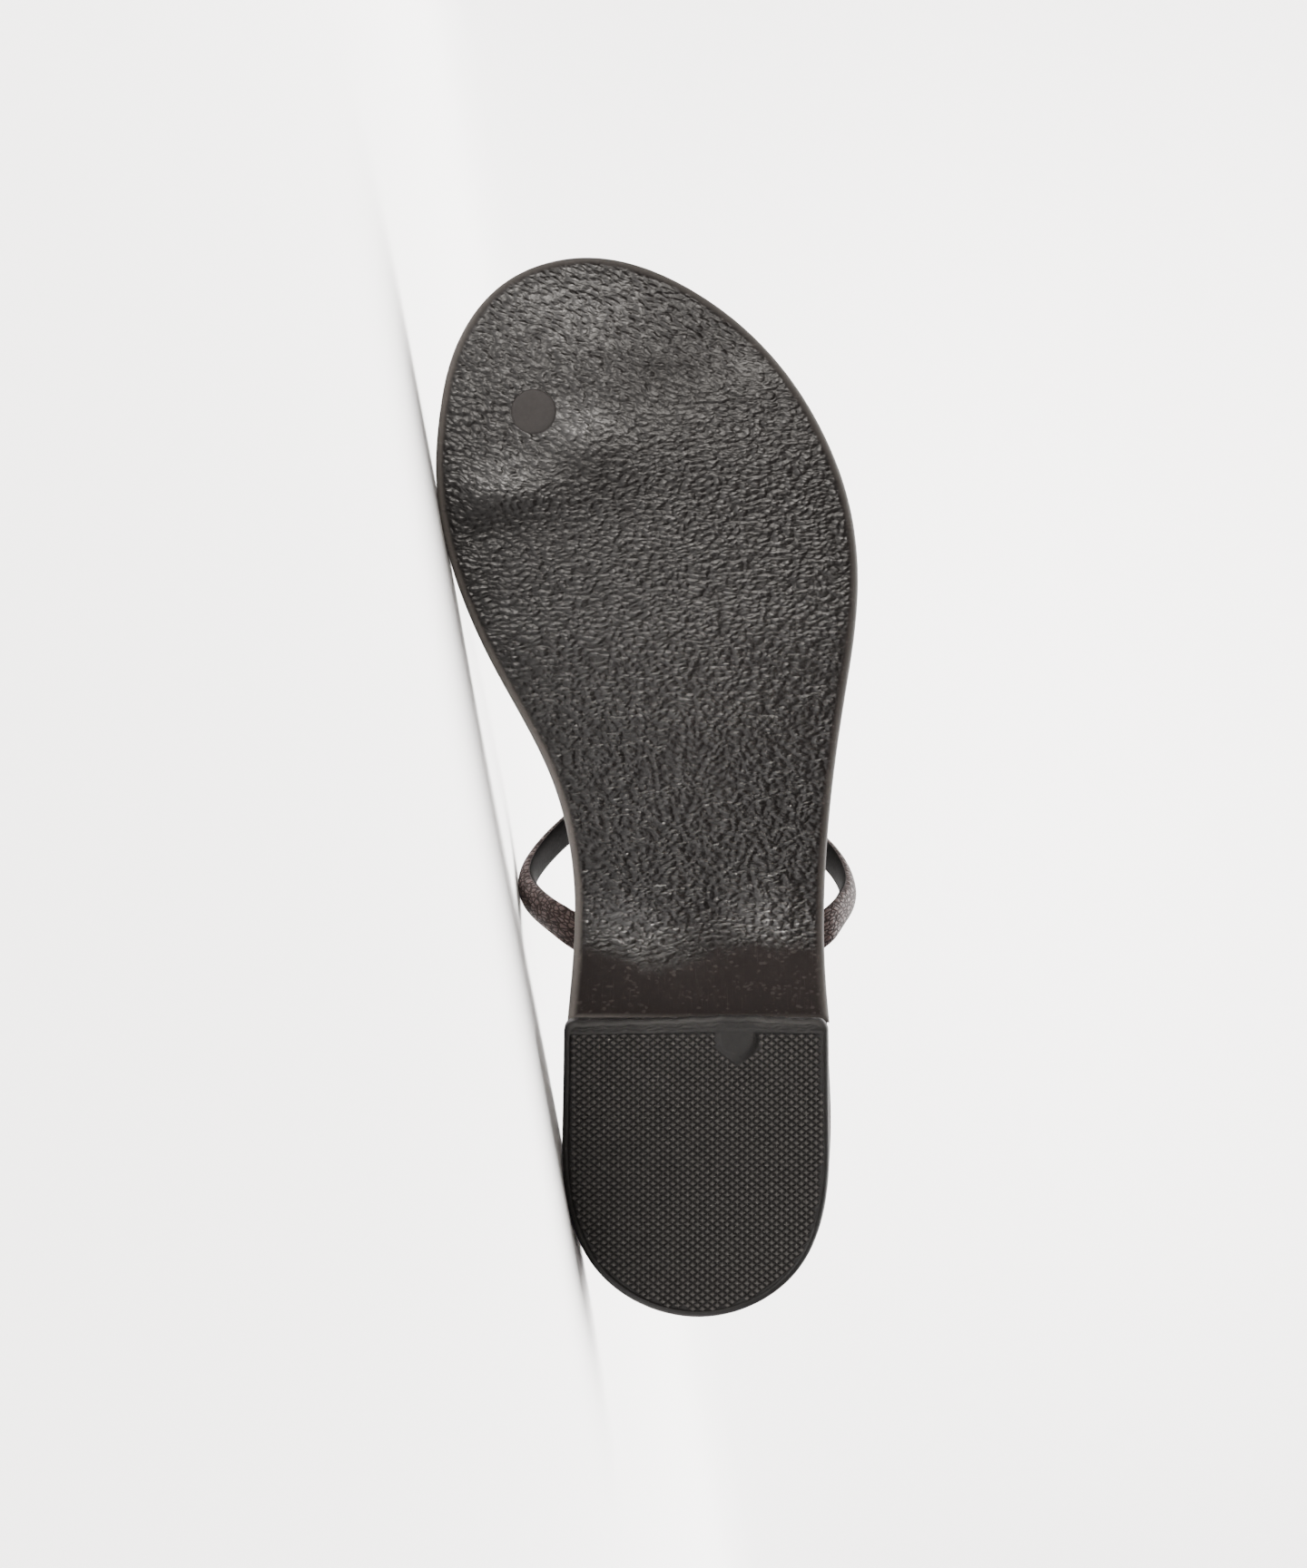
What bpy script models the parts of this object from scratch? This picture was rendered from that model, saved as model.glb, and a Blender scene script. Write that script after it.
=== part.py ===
"""Left thong sandal with a low block heel, lying on its big-toe side.

The shoe is modelled standing up: X points to the big-toe (medial) side, Y from the back of
the heel to the toe, and Z up from the ground. Tables and functions are in millimetres, and
meshes are made in metres. An empty then lays the whole shoe down on its medial edge.
"""

import math
from typing import Callable, NamedTuple

import bmesh
import bpy
import numpy as np
from mathutils import Matrix, Vector

MM = 0.001

# Driving dimensions, in millimetres
GAP = 0.3
TAIL_GAP = 0.5
OUTSOLE_THICKNESS = 3.5
FOOTBED_THICKNESS = 5.5
FOOTBED_DISH = 0.8
DISH_WIDTH = 14.0
INSOLE_THICKNESS = 1.0
LIFT_THICKNESS = 5.0
LIFT_FRONT = 68.8
LIFT_CORNER_RADIUS = 2.4
FLAP_START = 94.0
FLAP_END = 67.4
BLOCK_FRONT = 86.0
BLOCK_INSET = 0.4
PLUG_RADIUS = 5.2
THONG_ACROSS = 37.7
THONG_ALONG = 209.0
WAIST_ALONG = 110.0

TREAD_HEIGHT = OUTSOLE_THICKNESS + GAP + FOOTBED_THICKNESS

# Mesh resolution
OUTLINE_SAMPLES = 720
SOLE_STATIONS = 40
OUTSOLE_STATIONS = 34
HEEL_STATIONS = 20
BLOCK_FRONT_STATIONS = 5
PLUG_SIDES = 32
SECTION_SIDES = 14
INSTEP_STEPS = 60
TOE_STEPS = 34


class OutlinePoint(NamedTuple):
    """A point of an outline seen from above, across the shoe and along it from the heel."""

    name: str
    across: float
    along: float


class ProfileRow(NamedTuple):
    """Height of the footbed above its level at the tread, at one place along the shoe."""

    name: str
    along: float
    pitch: float


class RimRow(NamedTuple):
    """One step of a rounded rim: how far in from the outline, and how far up."""

    inset: float
    rise: float


class StrapRow(NamedTuple):
    """One section of a strap. rise is above the footbed, and facing turns the outer side from
    square up off the footbed (0) over the side (90) to down on it (180)."""

    name: str
    across: float
    along: float
    rise: float
    width: float
    thickness: float
    crown: float
    facing: float


# Outer edge of footbed and outsole, round the shoe from the heel by the medial side
SOLE_OUTLINE = (
    OutlinePoint("heel_back", -0.9, 0.0),
    OutlinePoint("heel_medial_round", 23.1, 11.0),
    OutlinePoint("heel_medial", 31.1, 42.0),
    OutlinePoint("heel_breast_medial", 29.7, 73.0),
    OutlinePoint("waist_medial", 28.6, 97.0),
    OutlinePoint("arch_medial", 33.7, 124.0),
    OutlinePoint("ball_rear_medial", 46.4, 149.0),
    OutlinePoint("ball_medial", 58.0, 178.3),
    OutlinePoint("joint_medial", 60.3, 195.5),
    OutlinePoint("toe_base_medial", 59.5, 208.5),
    OutlinePoint("big_toe_medial", 56.5, 222.8),
    OutlinePoint("big_toe_round", 44.3, 240.2),
    OutlinePoint("toe_tip", 25.1, 246.0),
    OutlinePoint("toe_round_lateral", 1.0, 238.0),
    OutlinePoint("toe_lateral", -18.8, 220.6),
    OutlinePoint("small_toe", -29.5, 203.5),
    OutlinePoint("small_toe_joint", -35.4, 186.8),
    OutlinePoint("ball_lateral", -37.2, 169.0),
    OutlinePoint("waist_front_lateral", -33.9, 140.5),
    OutlinePoint("waist_lateral", -30.2, 100.0),
    OutlinePoint("heel_breast_lateral", -30.7, 72.0),
    OutlinePoint("heel_lateral", -32.2, 42.0),
    OutlinePoint("heel_lateral_round", -24.4, 11.0),
)

# Edge of the heel lift from the lateral front corner round the back to the medial one
LIFT_OUTLINE = (
    OutlinePoint("front_lateral", -30.3, 74.0),
    OutlinePoint("side_lateral", -30.6, 45.0),
    OutlinePoint("rear_lateral", -29.9, 28.0),
    OutlinePoint("round_lateral", -23.4, 11.0),
    OutlinePoint("heel_back", -1.4, 0.0),
    OutlinePoint("round_medial", 23.3, 11.0),
    OutlinePoint("rear_medial", 30.3, 28.0),
    OutlinePoint("side_medial", 31.0, 47.0),
    OutlinePoint("front_medial", 30.6, 74.0),
)

FOOTBED_PROFILE = (
    ProfileRow("heel_seat_back", 0.0, 16.4),
    ProfileRow("heel_seat", 45.0, 16.0),
    ProfileRow("heel_breast", 70.0, 14.9),
    ProfileRow("waist", 95.0, 11.1),
    ProfileRow("arch", 120.0, 5.6),
    ProfileRow("arch_front", 142.0, 1.5),
    ProfileRow("tread_rear", 160.0, 0.0),
    ProfileRow("tread_front", 192.0, 0.0),
    ProfileRow("toe_crease", 212.0, 1.0),
    ProfileRow("toe", 230.0, 3.6),
    ProfileRow("toe_end", 246.0, 7.0),
)

# Rims, from the ground side to the foot side
OUTSOLE_RIM = (
    RimRow(2.2, 0.0),
    RimRow(1.1, 0.22),
    RimRow(0.35, 0.8),
    RimRow(0.0, 1.8),
    RimRow(0.0, 3.2),
    RimRow(0.3, 3.5),
)
FOOTBED_RIM = (
    RimRow(0.4, 0.0),
    RimRow(0.0, 0.4),
    RimRow(0.0, 3.7),
    RimRow(0.45, 4.95),
    RimRow(1.4, 5.5),
)
LIFT_RIM = (
    RimRow(1.3, 0.0),
    RimRow(0.4, 0.35),
    RimRow(0.0, 1.2),
    RimRow(0.0, 5.0),
)
DISH_INSETS = (1.4, 4.5, 9.0, 14.0)

# The instep strap, from its tail under the lateral side of the footbed to the medial one
INSTEP_STRAP = (
    StrapRow("lateral_tail", -17.6, 79.4, -4.5, 7.6, 1.5, 0.5, -180.0),
    StrapRow("lateral_tail_mid", -24.2, 84.2, -4.5, 7.6, 1.5, 0.5, -180.0),
    StrapRow("lateral_exit", -30.4, 88.8, -4.2, 7.6, 1.6, 0.5, -172.0),
    StrapRow("lateral_turn", -34.6, 92.7, 2.4, 7.6, 3.0, 0.62, -126.0),
    StrapRow("lateral_bulge", -37.0, 97.9, 17.5, 7.4, 3.3, 0.7, -90.0),
    StrapRow("lateral_shoulder", -32.4, 106.2, 35.0, 7.2, 3.5, 0.7, -58.0),
    StrapRow("lateral_crown", -14.5, 118.0, 47.0, 7.2, 3.7, 0.7, -26.0),
    StrapRow("join", 7.5, 125.5, 50.0, 7.2, 3.7, 0.7, 4.0),
    StrapRow("medial_crown", 24.5, 117.2, 45.0, 7.2, 3.7, 0.7, 36.0),
    StrapRow("medial_shoulder", 35.8, 107.4, 34.0, 7.4, 3.7, 0.7, 64.0),
    StrapRow("medial_bulge", 40.55, 99.8, 21.5, 7.8, 3.7, 0.7, 90.0),
    StrapRow("medial_turn", 35.8, 92.6, 3.4, 8.2, 3.1, 0.62, 126.0),
    StrapRow("medial_exit", 29.0, 88.4, -4.2, 8.2, 1.6, 0.5, 172.0),
    StrapRow("medial_tail_mid", 22.6, 84.2, -4.5, 8.0, 1.5, 0.5, 180.0),
    StrapRow("medial_tail", 16.0, 79.4, -4.5, 8.0, 1.5, 0.5, 180.0),
)

# The toe strap, from the instep strap down to its post through the footbed
TOE_STRAP = (
    StrapRow("lap", 6.9, 124.2, 50.0, 7.0, 3.6, 0.6, 0.0),
    StrapRow("instep", 10.9, 137.0, 47.5, 7.0, 3.6, 0.7, 6.0),
    StrapRow("dorsum", 21.5, 165.0, 37.0, 6.8, 3.6, 0.7, 16.0),
    StrapRow("knuckle", 31.4, 190.0, 24.5, 6.2, 3.8, 0.65, 26.0),
    StrapRow("crotch", 36.4, 204.4, 14.5, 5.4, 4.2, 0.55, 54.0),
    StrapRow("post_top", 37.7, 208.9, 5.0, 4.8, 4.6, 0.5, 86.0),
    StrapRow("post_foot", 37.7, 209.0, -5.5, 4.8, 4.6, 0.5, 90.0),
)


def spline(points: np.ndarray, knots: np.ndarray, at: np.ndarray, closed: bool) -> np.ndarray:
    """Cubic spline through points at their knots, natural at open ends or closed on itself."""
    spans = np.diff(knots)
    slopes = np.diff(points, axis=0) / spans[:, None]
    count = len(points) - 1 if closed else len(points)
    system = np.eye(count)
    right = np.zeros((count, points.shape[1]))
    for i in range(count) if closed else range(1, count - 1):
        before, after = spans[i - 1], spans[i]
        system[i, i] = 2 * (before + after)
        system[i, i - 1] = before
        system[i, (i + 1) % count] = after
        right[i] = 6 * (slopes[i] - slopes[i - 1])
    bends = np.linalg.solve(system, right)
    if closed:
        bends = np.vstack([bends, bends[:1]])
    span = np.clip(np.searchsorted(knots, at, side="right") - 1, 0, len(spans) - 1)
    width = spans[span][:, None]
    ahead = (knots[span + 1] - at)[:, None] / width
    behind = 1 - ahead
    lift = (ahead**3 - ahead) * bends[span] + (behind**3 - behind) * bends[span + 1]
    return ahead * points[span] + behind * points[span + 1] + lift * width**2 / 6


def smooth_path(points: np.ndarray, samples: int, closed: bool, spaced_by: int) -> np.ndarray:
    """Evenly spaced samples of a spline whose knots follow the first spaced_by columns."""
    if closed:
        points = np.vstack([points, points[:1]])
    chords = np.linalg.norm(np.diff(points[:, :spaced_by], axis=0), axis=1)
    knots = np.concatenate([[0.0], np.cumsum(chords)])
    return spline(points, knots, np.linspace(0, knots[-1], samples + 1), closed)


def monotone_profile(along: np.ndarray, heights: np.ndarray) -> Callable[[np.ndarray], np.ndarray]:
    """Smooth profile that rises and falls only where its rows do, so level rows stay level."""
    spans = np.diff(along)
    slopes = np.diff(heights) / spans
    tangents = np.zeros(len(along))
    rising = slopes[:-1] * slopes[1:] > 0
    weight_a = 2 * spans[1:] + spans[:-1]
    weight_b = spans[1:] + 2 * spans[:-1]
    for i in np.flatnonzero(rising):
        shares = weight_a[i] / slopes[i] + weight_b[i] / slopes[i + 1]
        tangents[i + 1] = (weight_a[i] + weight_b[i]) / shares
    tangents[0], tangents[-1] = slopes[0], slopes[-1]

    def height(at):
        i = np.clip(np.searchsorted(along, at, side="right") - 1, 0, len(spans) - 1)
        t = (at - along[i]) / spans[i]
        start = heights[i] * (1 + 2 * t) * (1 - t) ** 2 + tangents[i] * spans[i] * t * (1 - t) ** 2
        end = heights[i + 1] * t**2 * (3 - 2 * t) + tangents[i + 1] * spans[i] * t**2 * (t - 1)
        return start + end

    return height


pitch_at = monotone_profile(
    np.array([row.along for row in FOOTBED_PROFILE]),
    np.array([row.pitch for row in FOOTBED_PROFILE]),
)


def footbed_top(along):
    """Height of the footbed's upper edge above the ground."""
    return TREAD_HEIGHT + pitch_at(along)


def footbed_slope(along: float) -> float:
    """Rise of the footbed for each millimetre towards the toe."""
    return float(footbed_top(along + 1) - footbed_top(along - 1)) / 2


def footbed_seat(along):
    """Underside of the footbed, which outsole and heel block meet."""
    return footbed_top(along) - FOOTBED_THICKNESS


def outsole_bottom(along):
    """Ground side of the outsole, level at the tread and run down the heel breast as a flap."""
    along = np.asarray(along, float)
    under_footbed = footbed_seat(along) - GAP - OUTSOLE_THICKNESS
    flap_reach = np.clip((FLAP_START - along) / (FLAP_START - FLAP_END), 0, None)
    seat_at_end = footbed_seat(np.array(FLAP_END)) - GAP - OUTSOLE_THICKNESS
    return under_footbed - (seat_at_end - LIFT_THICKNESS - GAP) * flap_reach**2


class Outline:
    """A shoe-shaped outline as two branches from the back of the heel forward."""

    def __init__(self, points: np.ndarray, closed: bool):
        self.points = points
        self.closed = closed
        rolled = np.roll(points, -int(points[:, 1].argmin()), axis=0) if closed else points
        split = int(rolled[:, 1].argmax()) if closed else int(rolled[:, 1].argmin())
        if closed:
            self.medial = rolled[: split + 1]
            self.lateral = np.vstack([rolled[:1], rolled[split:][::-1]])
        else:
            self.lateral = rolled[: split + 1][::-1]
            self.medial = rolled[split:]

    def inset(self, distance: float) -> "Outline":
        """The outline moved inwards, square to its edge."""
        if distance == 0:
            return self
        ahead = np.roll(self.points, -1, axis=0) - np.roll(self.points, 1, axis=0)
        if not self.closed:
            ahead[0], ahead[-1] = ahead[1], ahead[-2]
        inward = np.column_stack([-ahead[:, 1], ahead[:, 0]])
        inward /= np.linalg.norm(inward, axis=1)[:, None]
        return Outline(self.points + inward * distance, self.closed)

    def ends(self) -> tuple[float, float]:
        """Where the outline starts and stops along the shoe."""
        return float(self.medial[0, 1]), float(self.medial[-1, 1])

    def across(self, along: np.ndarray) -> tuple[np.ndarray, np.ndarray]:
        """Lateral and medial edge at places along the shoe."""
        return tuple(
            np.interp(along, branch[:, 1], branch[:, 0]) for branch in (self.lateral, self.medial)
        )


def outline_of(rows: tuple[OutlinePoint, ...], closed: bool) -> Outline:
    """Outline through the rows of a table, run round so that its inside is on the left."""
    points = np.array([(row.across, row.along) for row in rows])
    path = smooth_path(points, OUTLINE_SAMPLES, closed, 2)
    return Outline(path[:-1] if closed else path, closed)


SOLE = outline_of(SOLE_OUTLINE, closed=True)
LIFT = outline_of(LIFT_OUTLINE, closed=False)


def stations(start: float, stop: float, count: int, round_start: bool) -> np.ndarray:
    """Places along a piece, closer together towards its round ends."""
    share = np.linspace(0, 1, count + 1)
    if round_start:
        return start + (stop - start) * (1 - np.cos(math.pi * share)) / 2
    return start + (stop - start) * np.sin(math.pi / 2 * share)


def edge_loop(outline: Outline, along: np.ndarray, heights: np.ndarray) -> np.ndarray:
    """Lateral and medial points of one loop, as an array of stations, sides and coordinates."""
    sides = [np.column_stack([x, along, heights]) for x in outline.across(along)]
    return np.stack(sides, axis=1)


def plate_loops(outline, rows, base, start, count, round_start) -> list[np.ndarray]:
    """Loops of a plate whose rim follows rows of inset and rise above a base height."""
    loops = []
    for row in rows:
        inner = outline.inset(row.inset)
        first, last = inner.ends()
        along = stations(first if round_start else start + row.inset, last, count, round_start)
        loops.append(edge_loop(inner, along, base(along) + row.rise))
    return loops


def new_object(name: str, mesh_source: bmesh.types.BMesh, collection) -> bpy.types.Object:
    """An object in a collection, with its faces pointing outwards."""
    bmesh.ops.remove_doubles(mesh_source, verts=mesh_source.verts, dist=1e-6)
    bmesh.ops.recalc_face_normals(mesh_source, faces=mesh_source.faces)
    mesh = bpy.data.meshes.new(name)
    mesh_source.to_mesh(mesh)
    mesh_source.free()
    mesh.shade_smooth()
    mesh.set_sharp_from_angle(angle=math.radians(35))
    piece = bpy.data.objects.new(name, mesh)
    collection.objects.link(piece)
    return piece


def loft_plate(name: str, loops: list[np.ndarray], collection) -> bpy.types.Object:
    """A solid through loops of lateral and medial points, closed below and above by rungs."""
    shell = bmesh.new()
    rings = []
    for loop in loops:
        points = np.concatenate([loop[:, 1], loop[::-1, 0]]) * MM
        rings.append([shell.verts.new(point) for point in points])
    size = len(rings[0])
    for low, high in zip(rings, rings[1:]):
        for i in range(size):
            j = (i + 1) % size
            shell.faces.new((low[i], low[j], high[j], high[i]))
    for cap in (rings[0], rings[-1]):
        for i in range(size // 2 - 1):
            shell.faces.new((cap[i], cap[i + 1], cap[size - 2 - i], cap[size - 1 - i]))
    return new_object(name, shell, collection)


def strap_sections(rows, steps: int, facing_axis: Vector, grow: float) -> list[np.ndarray]:
    """Cross-sections along a strap: a domed outer side over a flatter inner one."""
    table = np.array([row[1:] for row in rows])
    table[:, 2] += footbed_top(table[:, 1])
    path = smooth_path(table, steps, False, 3)
    travel = np.gradient(path[:, :3], axis=0)
    sections = []
    for row, ahead in zip(path, travel):
        place, (width, thickness, crown, facing) = row[:3], row[3:]
        ahead = ahead / np.linalg.norm(ahead)
        turn = math.radians(facing)
        square_up = np.array((0, -footbed_slope(place[1]), 1))
        outward = math.cos(turn) * square_up + math.sin(turn) * np.array(facing_axis)
        outward = outward - outward.dot(ahead) * ahead
        outward /= np.linalg.norm(outward)
        sideways = np.cross(ahead, outward)
        angles = np.linspace(0, 2 * math.pi, SECTION_SIDES, endpoint=False)
        depth = np.where(np.sin(angles) > 0, 2 * crown, 2 * (1 - crown)) * (thickness / 2)
        offsets = np.outer(np.cos(angles) * (width / 2 + grow), sideways)
        offsets += np.outer(np.sin(angles) * (depth + grow), outward)
        sections.append(place + offsets)
    return sections


def loft_strap(name: str, rows, steps, facing_axis, collection, grow=0.0) -> bpy.types.Object:
    """A strap swept through its table of sections, or its clearance when it is grown."""
    shell = bmesh.new()
    rings = [
        [shell.verts.new(point * MM) for point in section]
        for section in strap_sections(rows, steps, facing_axis, grow)
    ]
    for low, high in zip(rings, rings[1:]):
        for i in range(SECTION_SIDES):
            j = (i + 1) % SECTION_SIDES
            shell.faces.new((low[i], low[j], high[j], high[i]))
    shell.faces.new(rings[0])
    shell.faces.new(rings[-1])
    return new_object(name, shell, collection)


def make_cutter(piece: bpy.types.Object) -> bpy.types.Object:
    """Marks a helper solid that only cuts or joins others."""
    piece.hide_render = True
    piece.display_type = "WIRE"
    return piece


def boolean(piece: bpy.types.Object, operation: str, other: bpy.types.Object) -> None:
    """Adds an exact Boolean of another solid to a piece."""
    modifier = piece.modifiers.new(f"{operation.lower()}_{other.name}", "BOOLEAN")
    modifier.operation = operation
    modifier.object = other
    modifier.solver = "EXACT"


def dish_drop(inset: float) -> float:
    """How far the footbed's face lies below its edge, at a distance in from the edge."""
    share = min(max((inset - DISH_INSETS[0]) / (DISH_WIDTH - DISH_INSETS[0]), 0), 1)
    return FOOTBED_DISH * share**2 * (3 - 2 * share)


def build_outsole(parts, cutters) -> bpy.types.Object:
    """Outsole sheet with a rounded edge, a heel-breast flap and the hole for the thong plug."""
    loops = plate_loops(SOLE, OUTSOLE_RIM, outsole_bottom, FLAP_END, OUTSOLE_STATIONS, False)
    outsole = loft_plate("outsole", loops, parts)
    hole = make_cutter(plug_cylinder("plug_hole", PLUG_RADIUS + GAP, 4 * OUTSOLE_THICKNESS, cutters))
    boolean(outsole, "DIFFERENCE", hole)
    return outsole


def build_footbed(parts, clearances) -> bpy.types.Object:
    """Wrapped footbed board, dished in the middle and notched for the strap's tails."""
    dish = [RimRow(inset, FOOTBED_THICKNESS - dish_drop(inset)) for inset in DISH_INSETS[1:]]
    rows = FOOTBED_RIM + tuple(dish)
    loops = plate_loops(SOLE, rows, footbed_seat, 0.0, SOLE_STATIONS, True)
    footbed = loft_plate("footbed", loops, parts)
    for clearance in clearances:
        boolean(footbed, "DIFFERENCE", clearance)
    return footbed


def build_insole(parts, post_clearance) -> bpy.types.Object:
    """Thin sock lining on the footbed, with a hole for the toe post."""
    under = [RimRow(inset, GAP - dish_drop(inset)) for inset in DISH_INSETS[::-1]]
    over = [RimRow(row.inset, row.rise + INSOLE_THICKNESS) for row in reversed(under)]
    loops = plate_loops(SOLE, under + over, footbed_top, 0.0, SOLE_STATIONS, True)
    insole = loft_plate("insole", loops, parts)
    boolean(insole, "DIFFERENCE", post_clearance)
    return insole


def build_heel_lift(parts) -> bpy.types.Object:
    """Rubber top piece of the heel, straight across the front and flat on the ground."""
    loops = []
    for row in LIFT_RIM:
        inner = LIFT.inset(row.inset)
        front = LIFT_FRONT - row.inset
        along = stations(inner.ends()[0], front, HEEL_STATIONS, True)
        into_corner = np.clip(along - front + LIFT_CORNER_RADIUS, 0, LIFT_CORNER_RADIUS)
        cut = LIFT_CORNER_RADIUS - np.sqrt(LIFT_CORNER_RADIUS**2 - into_corner**2)
        loop = edge_loop(inner, along, np.full(len(along), row.rise))
        loop[:, 0, 0] += cut
        loop[:, 1, 0] -= cut
        loops.append(loop)
    return loft_plate("heel_lift", loops, parts)


def build_heel_block(parts) -> bpy.types.Object:
    """Heel block from the lift to the footbed, with its breast hollowed to back the flap."""
    step = FLAP_END - GAP
    foot = LIFT.inset(BLOCK_INSET)
    seat = SOLE.inset(BLOCK_INSET)
    share = stations(0, 1, 2 * HEEL_STATIONS, True)[: HEEL_STATIONS + 1] * 2
    front = np.linspace(step, BLOCK_FRONT, BLOCK_FRONT_STATIONS + 1)
    foot_along = foot.ends()[0] + (step - GAP - foot.ends()[0]) * share
    seat_along = seat.ends()[0] + (step - GAP - seat.ends()[0]) * share
    low_rear = edge_loop(foot, foot_along, np.full(len(foot_along), LIFT_THICKNESS + GAP))
    low_front = edge_loop(seat, front, outsole_bottom(front) + OUTSOLE_THICKNESS + GAP)
    high_along = np.concatenate([seat_along, front])
    high = edge_loop(seat, high_along, footbed_seat(high_along) - GAP)
    return loft_plate("heel_block", [np.concatenate([low_rear, low_front]), high], parts)


def sole_tilt(along: float) -> float:
    """Slope of the outsole along the shoe, in radians."""
    rise = outsole_bottom(np.array(along + 1)) - outsole_bottom(np.array(along - 1))
    return math.atan2(float(rise), 2)


def plug_cylinder(name: str, radius: float, depth: float, collection) -> bpy.types.Object:
    """A cylinder square to the outsole under the toe post, centred in its thickness."""
    shell = bmesh.new()
    bmesh.ops.create_cone(
        shell,
        cap_ends=True,
        segments=PLUG_SIDES,
        radius1=radius * MM,
        radius2=radius * MM,
        depth=depth * MM,
    )
    middle = float(outsole_bottom(np.array(THONG_ALONG))) + OUTSOLE_THICKNESS / 2
    place = Matrix.Translation(Vector((THONG_ACROSS, THONG_ALONG, middle)) * MM)
    tilt = Matrix.Rotation(sole_tilt(THONG_ALONG), 4, "X")
    shell.transform(place @ tilt)
    return new_object(name, shell, collection)


def build_thong_plug(parts) -> bpy.types.Object:
    """Round plug that anchors the toe post, flush with the outsole."""
    plug = plug_cylinder("thong_plug", PLUG_RADIUS, OUTSOLE_THICKNESS - GAP / 2, parts)
    bevel = plug.modifiers.new("worn_edge", "BEVEL")
    bevel.width = GAP * MM
    bevel.segments = 2
    bevel.limit_method = "ANGLE"
    bevel.angle_limit = math.radians(60)
    return plug


def build_upper(parts, cutters) -> bpy.types.Object:
    """Instep strap and toe strap, joined where they meet on the instep."""
    side, front = Vector((1, 0, 0)), Vector((0, 1, 0))
    upper = loft_strap("upper_straps", INSTEP_STRAP, INSTEP_STEPS, side, parts)
    toe_strap = loft_strap("toe_strap", TOE_STRAP, TOE_STEPS, front, cutters)
    boolean(upper, "UNION", make_cutter(toe_strap))
    return upper


def build_clearances(cutters) -> tuple[bpy.types.Object, bpy.types.Object]:
    """The straps grown by the gap, to cut their way through footbed and insole."""
    side, front = Vector((1, 0, 0)), Vector((0, 1, 0))
    tails = loft_strap("tail_clearance", INSTEP_STRAP, INSTEP_STEPS, side, cutters, TAIL_GAP)
    deeper = TOE_STRAP[-1]._replace(rise=TOE_STRAP[-1].rise - 4 * GAP)
    post = loft_strap("post_clearance", TOE_STRAP[:-1] + (deeper,), TOE_STEPS, front, cutters, GAP)
    return make_cutter(tails), make_cutter(post)


def finish(piece: bpy.types.Object, colour, roughness: float) -> None:
    """Gives a piece its own plain material."""
    material = bpy.data.materials.new(piece.name)
    material.use_nodes = True
    shader = material.node_tree.nodes["Principled BSDF"]
    shader.inputs["Base Color"].default_value = (*colour, 1)
    shader.inputs["Roughness"].default_value = roughness
    shader.inputs["Metallic"].default_value = 0
    piece.data.materials.append(material)


def corners_of(pieces) -> np.ndarray:
    """Every corner of the finished pieces, in world space."""
    graph = bpy.context.evaluated_depsgraph_get()
    corners = []
    for piece in pieces:
        evaluated = piece.evaluated_get(graph)
        mesh = evaluated.to_mesh()
        corners += [evaluated.matrix_world @ vertex.co for vertex in mesh.vertices]
        evaluated.to_mesh_clear()
    return np.array(corners)


def resting_turn(corners: np.ndarray) -> float:
    """Turn about the upright that brings heel and ball level on the medial side."""
    heel = corners[corners[:, 1] < WAIST_ALONG * MM]
    ball = corners[corners[:, 1] >= WAIST_ALONG * MM]
    low, high = 0.0, math.radians(45)
    for _ in range(40):
        turn = (low + high) / 2
        reach = [(p[:, 0] * math.cos(turn) - p[:, 1] * math.sin(turn)).max() for p in (heel, ball)]
        low, high = (turn, high) if reach[1] > reach[0] else (low, turn)
    return turn


def lay_down(pieces, resting, helpers) -> None:
    """Lays the shoe on its resting pieces, sole towards -Y, and centres it on the floor."""
    bpy.context.view_layer.update()
    turn = resting_turn(corners_of(resting))
    on_side = Matrix(((0, -1, 0), (0, 0, 1), (-1, 0, 0))).to_4x4()
    pose = bpy.data.objects.new("lying_pose", None)
    bpy.context.scene.collection.objects.link(pose)
    pose.matrix_world = on_side @ Matrix.Rotation(turn, 4, "Z")
    for piece in (*pieces, *helpers):
        piece.parent = pose
    bpy.context.view_layer.update()
    corners = corners_of(pieces)
    low, high = corners.min(axis=0), corners.max(axis=0)
    pose.location = (-(low[0] + high[0]) / 2, -(low[1] + high[1]) / 2, -low[2])


def clear_scene() -> None:
    """Removes whatever the scene starts with."""
    for item in list(bpy.data.objects):
        bpy.data.objects.remove(item, do_unlink=True)


def main() -> None:
    """Builds the sandal's pieces and lays them down together."""
    clear_scene()
    parts = bpy.data.collections.new("thong_sandal")
    cutters = bpy.data.collections.new("cutters")
    for collection in (parts, cutters):
        bpy.context.scene.collection.children.link(collection)
    tails, post = build_clearances(cutters)
    outsole = build_outsole(parts, cutters)
    footbed = build_footbed(parts, (tails, post))
    insole = build_insole(parts, post)
    heel_block = build_heel_block(parts)
    heel_lift = build_heel_lift(parts)
    upper = build_upper(parts, cutters)
    plug = build_thong_plug(parts)
    finish(outsole, (0.028, 0.026, 0.024), 0.42)
    finish(footbed, (0.035, 0.024, 0.021), 0.5)
    finish(insole, (0.040, 0.027, 0.023), 0.55)
    finish(heel_block, (0.022, 0.019, 0.018), 0.45)
    finish(heel_lift, (0.020, 0.020, 0.019), 0.6)
    finish(upper, (0.060, 0.038, 0.036), 0.45)
    finish(plug, (0.055, 0.052, 0.050), 0.6)
    lay_down(tuple(parts.objects), (outsole, footbed, heel_lift), tuple(cutters.objects))


main()
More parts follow.
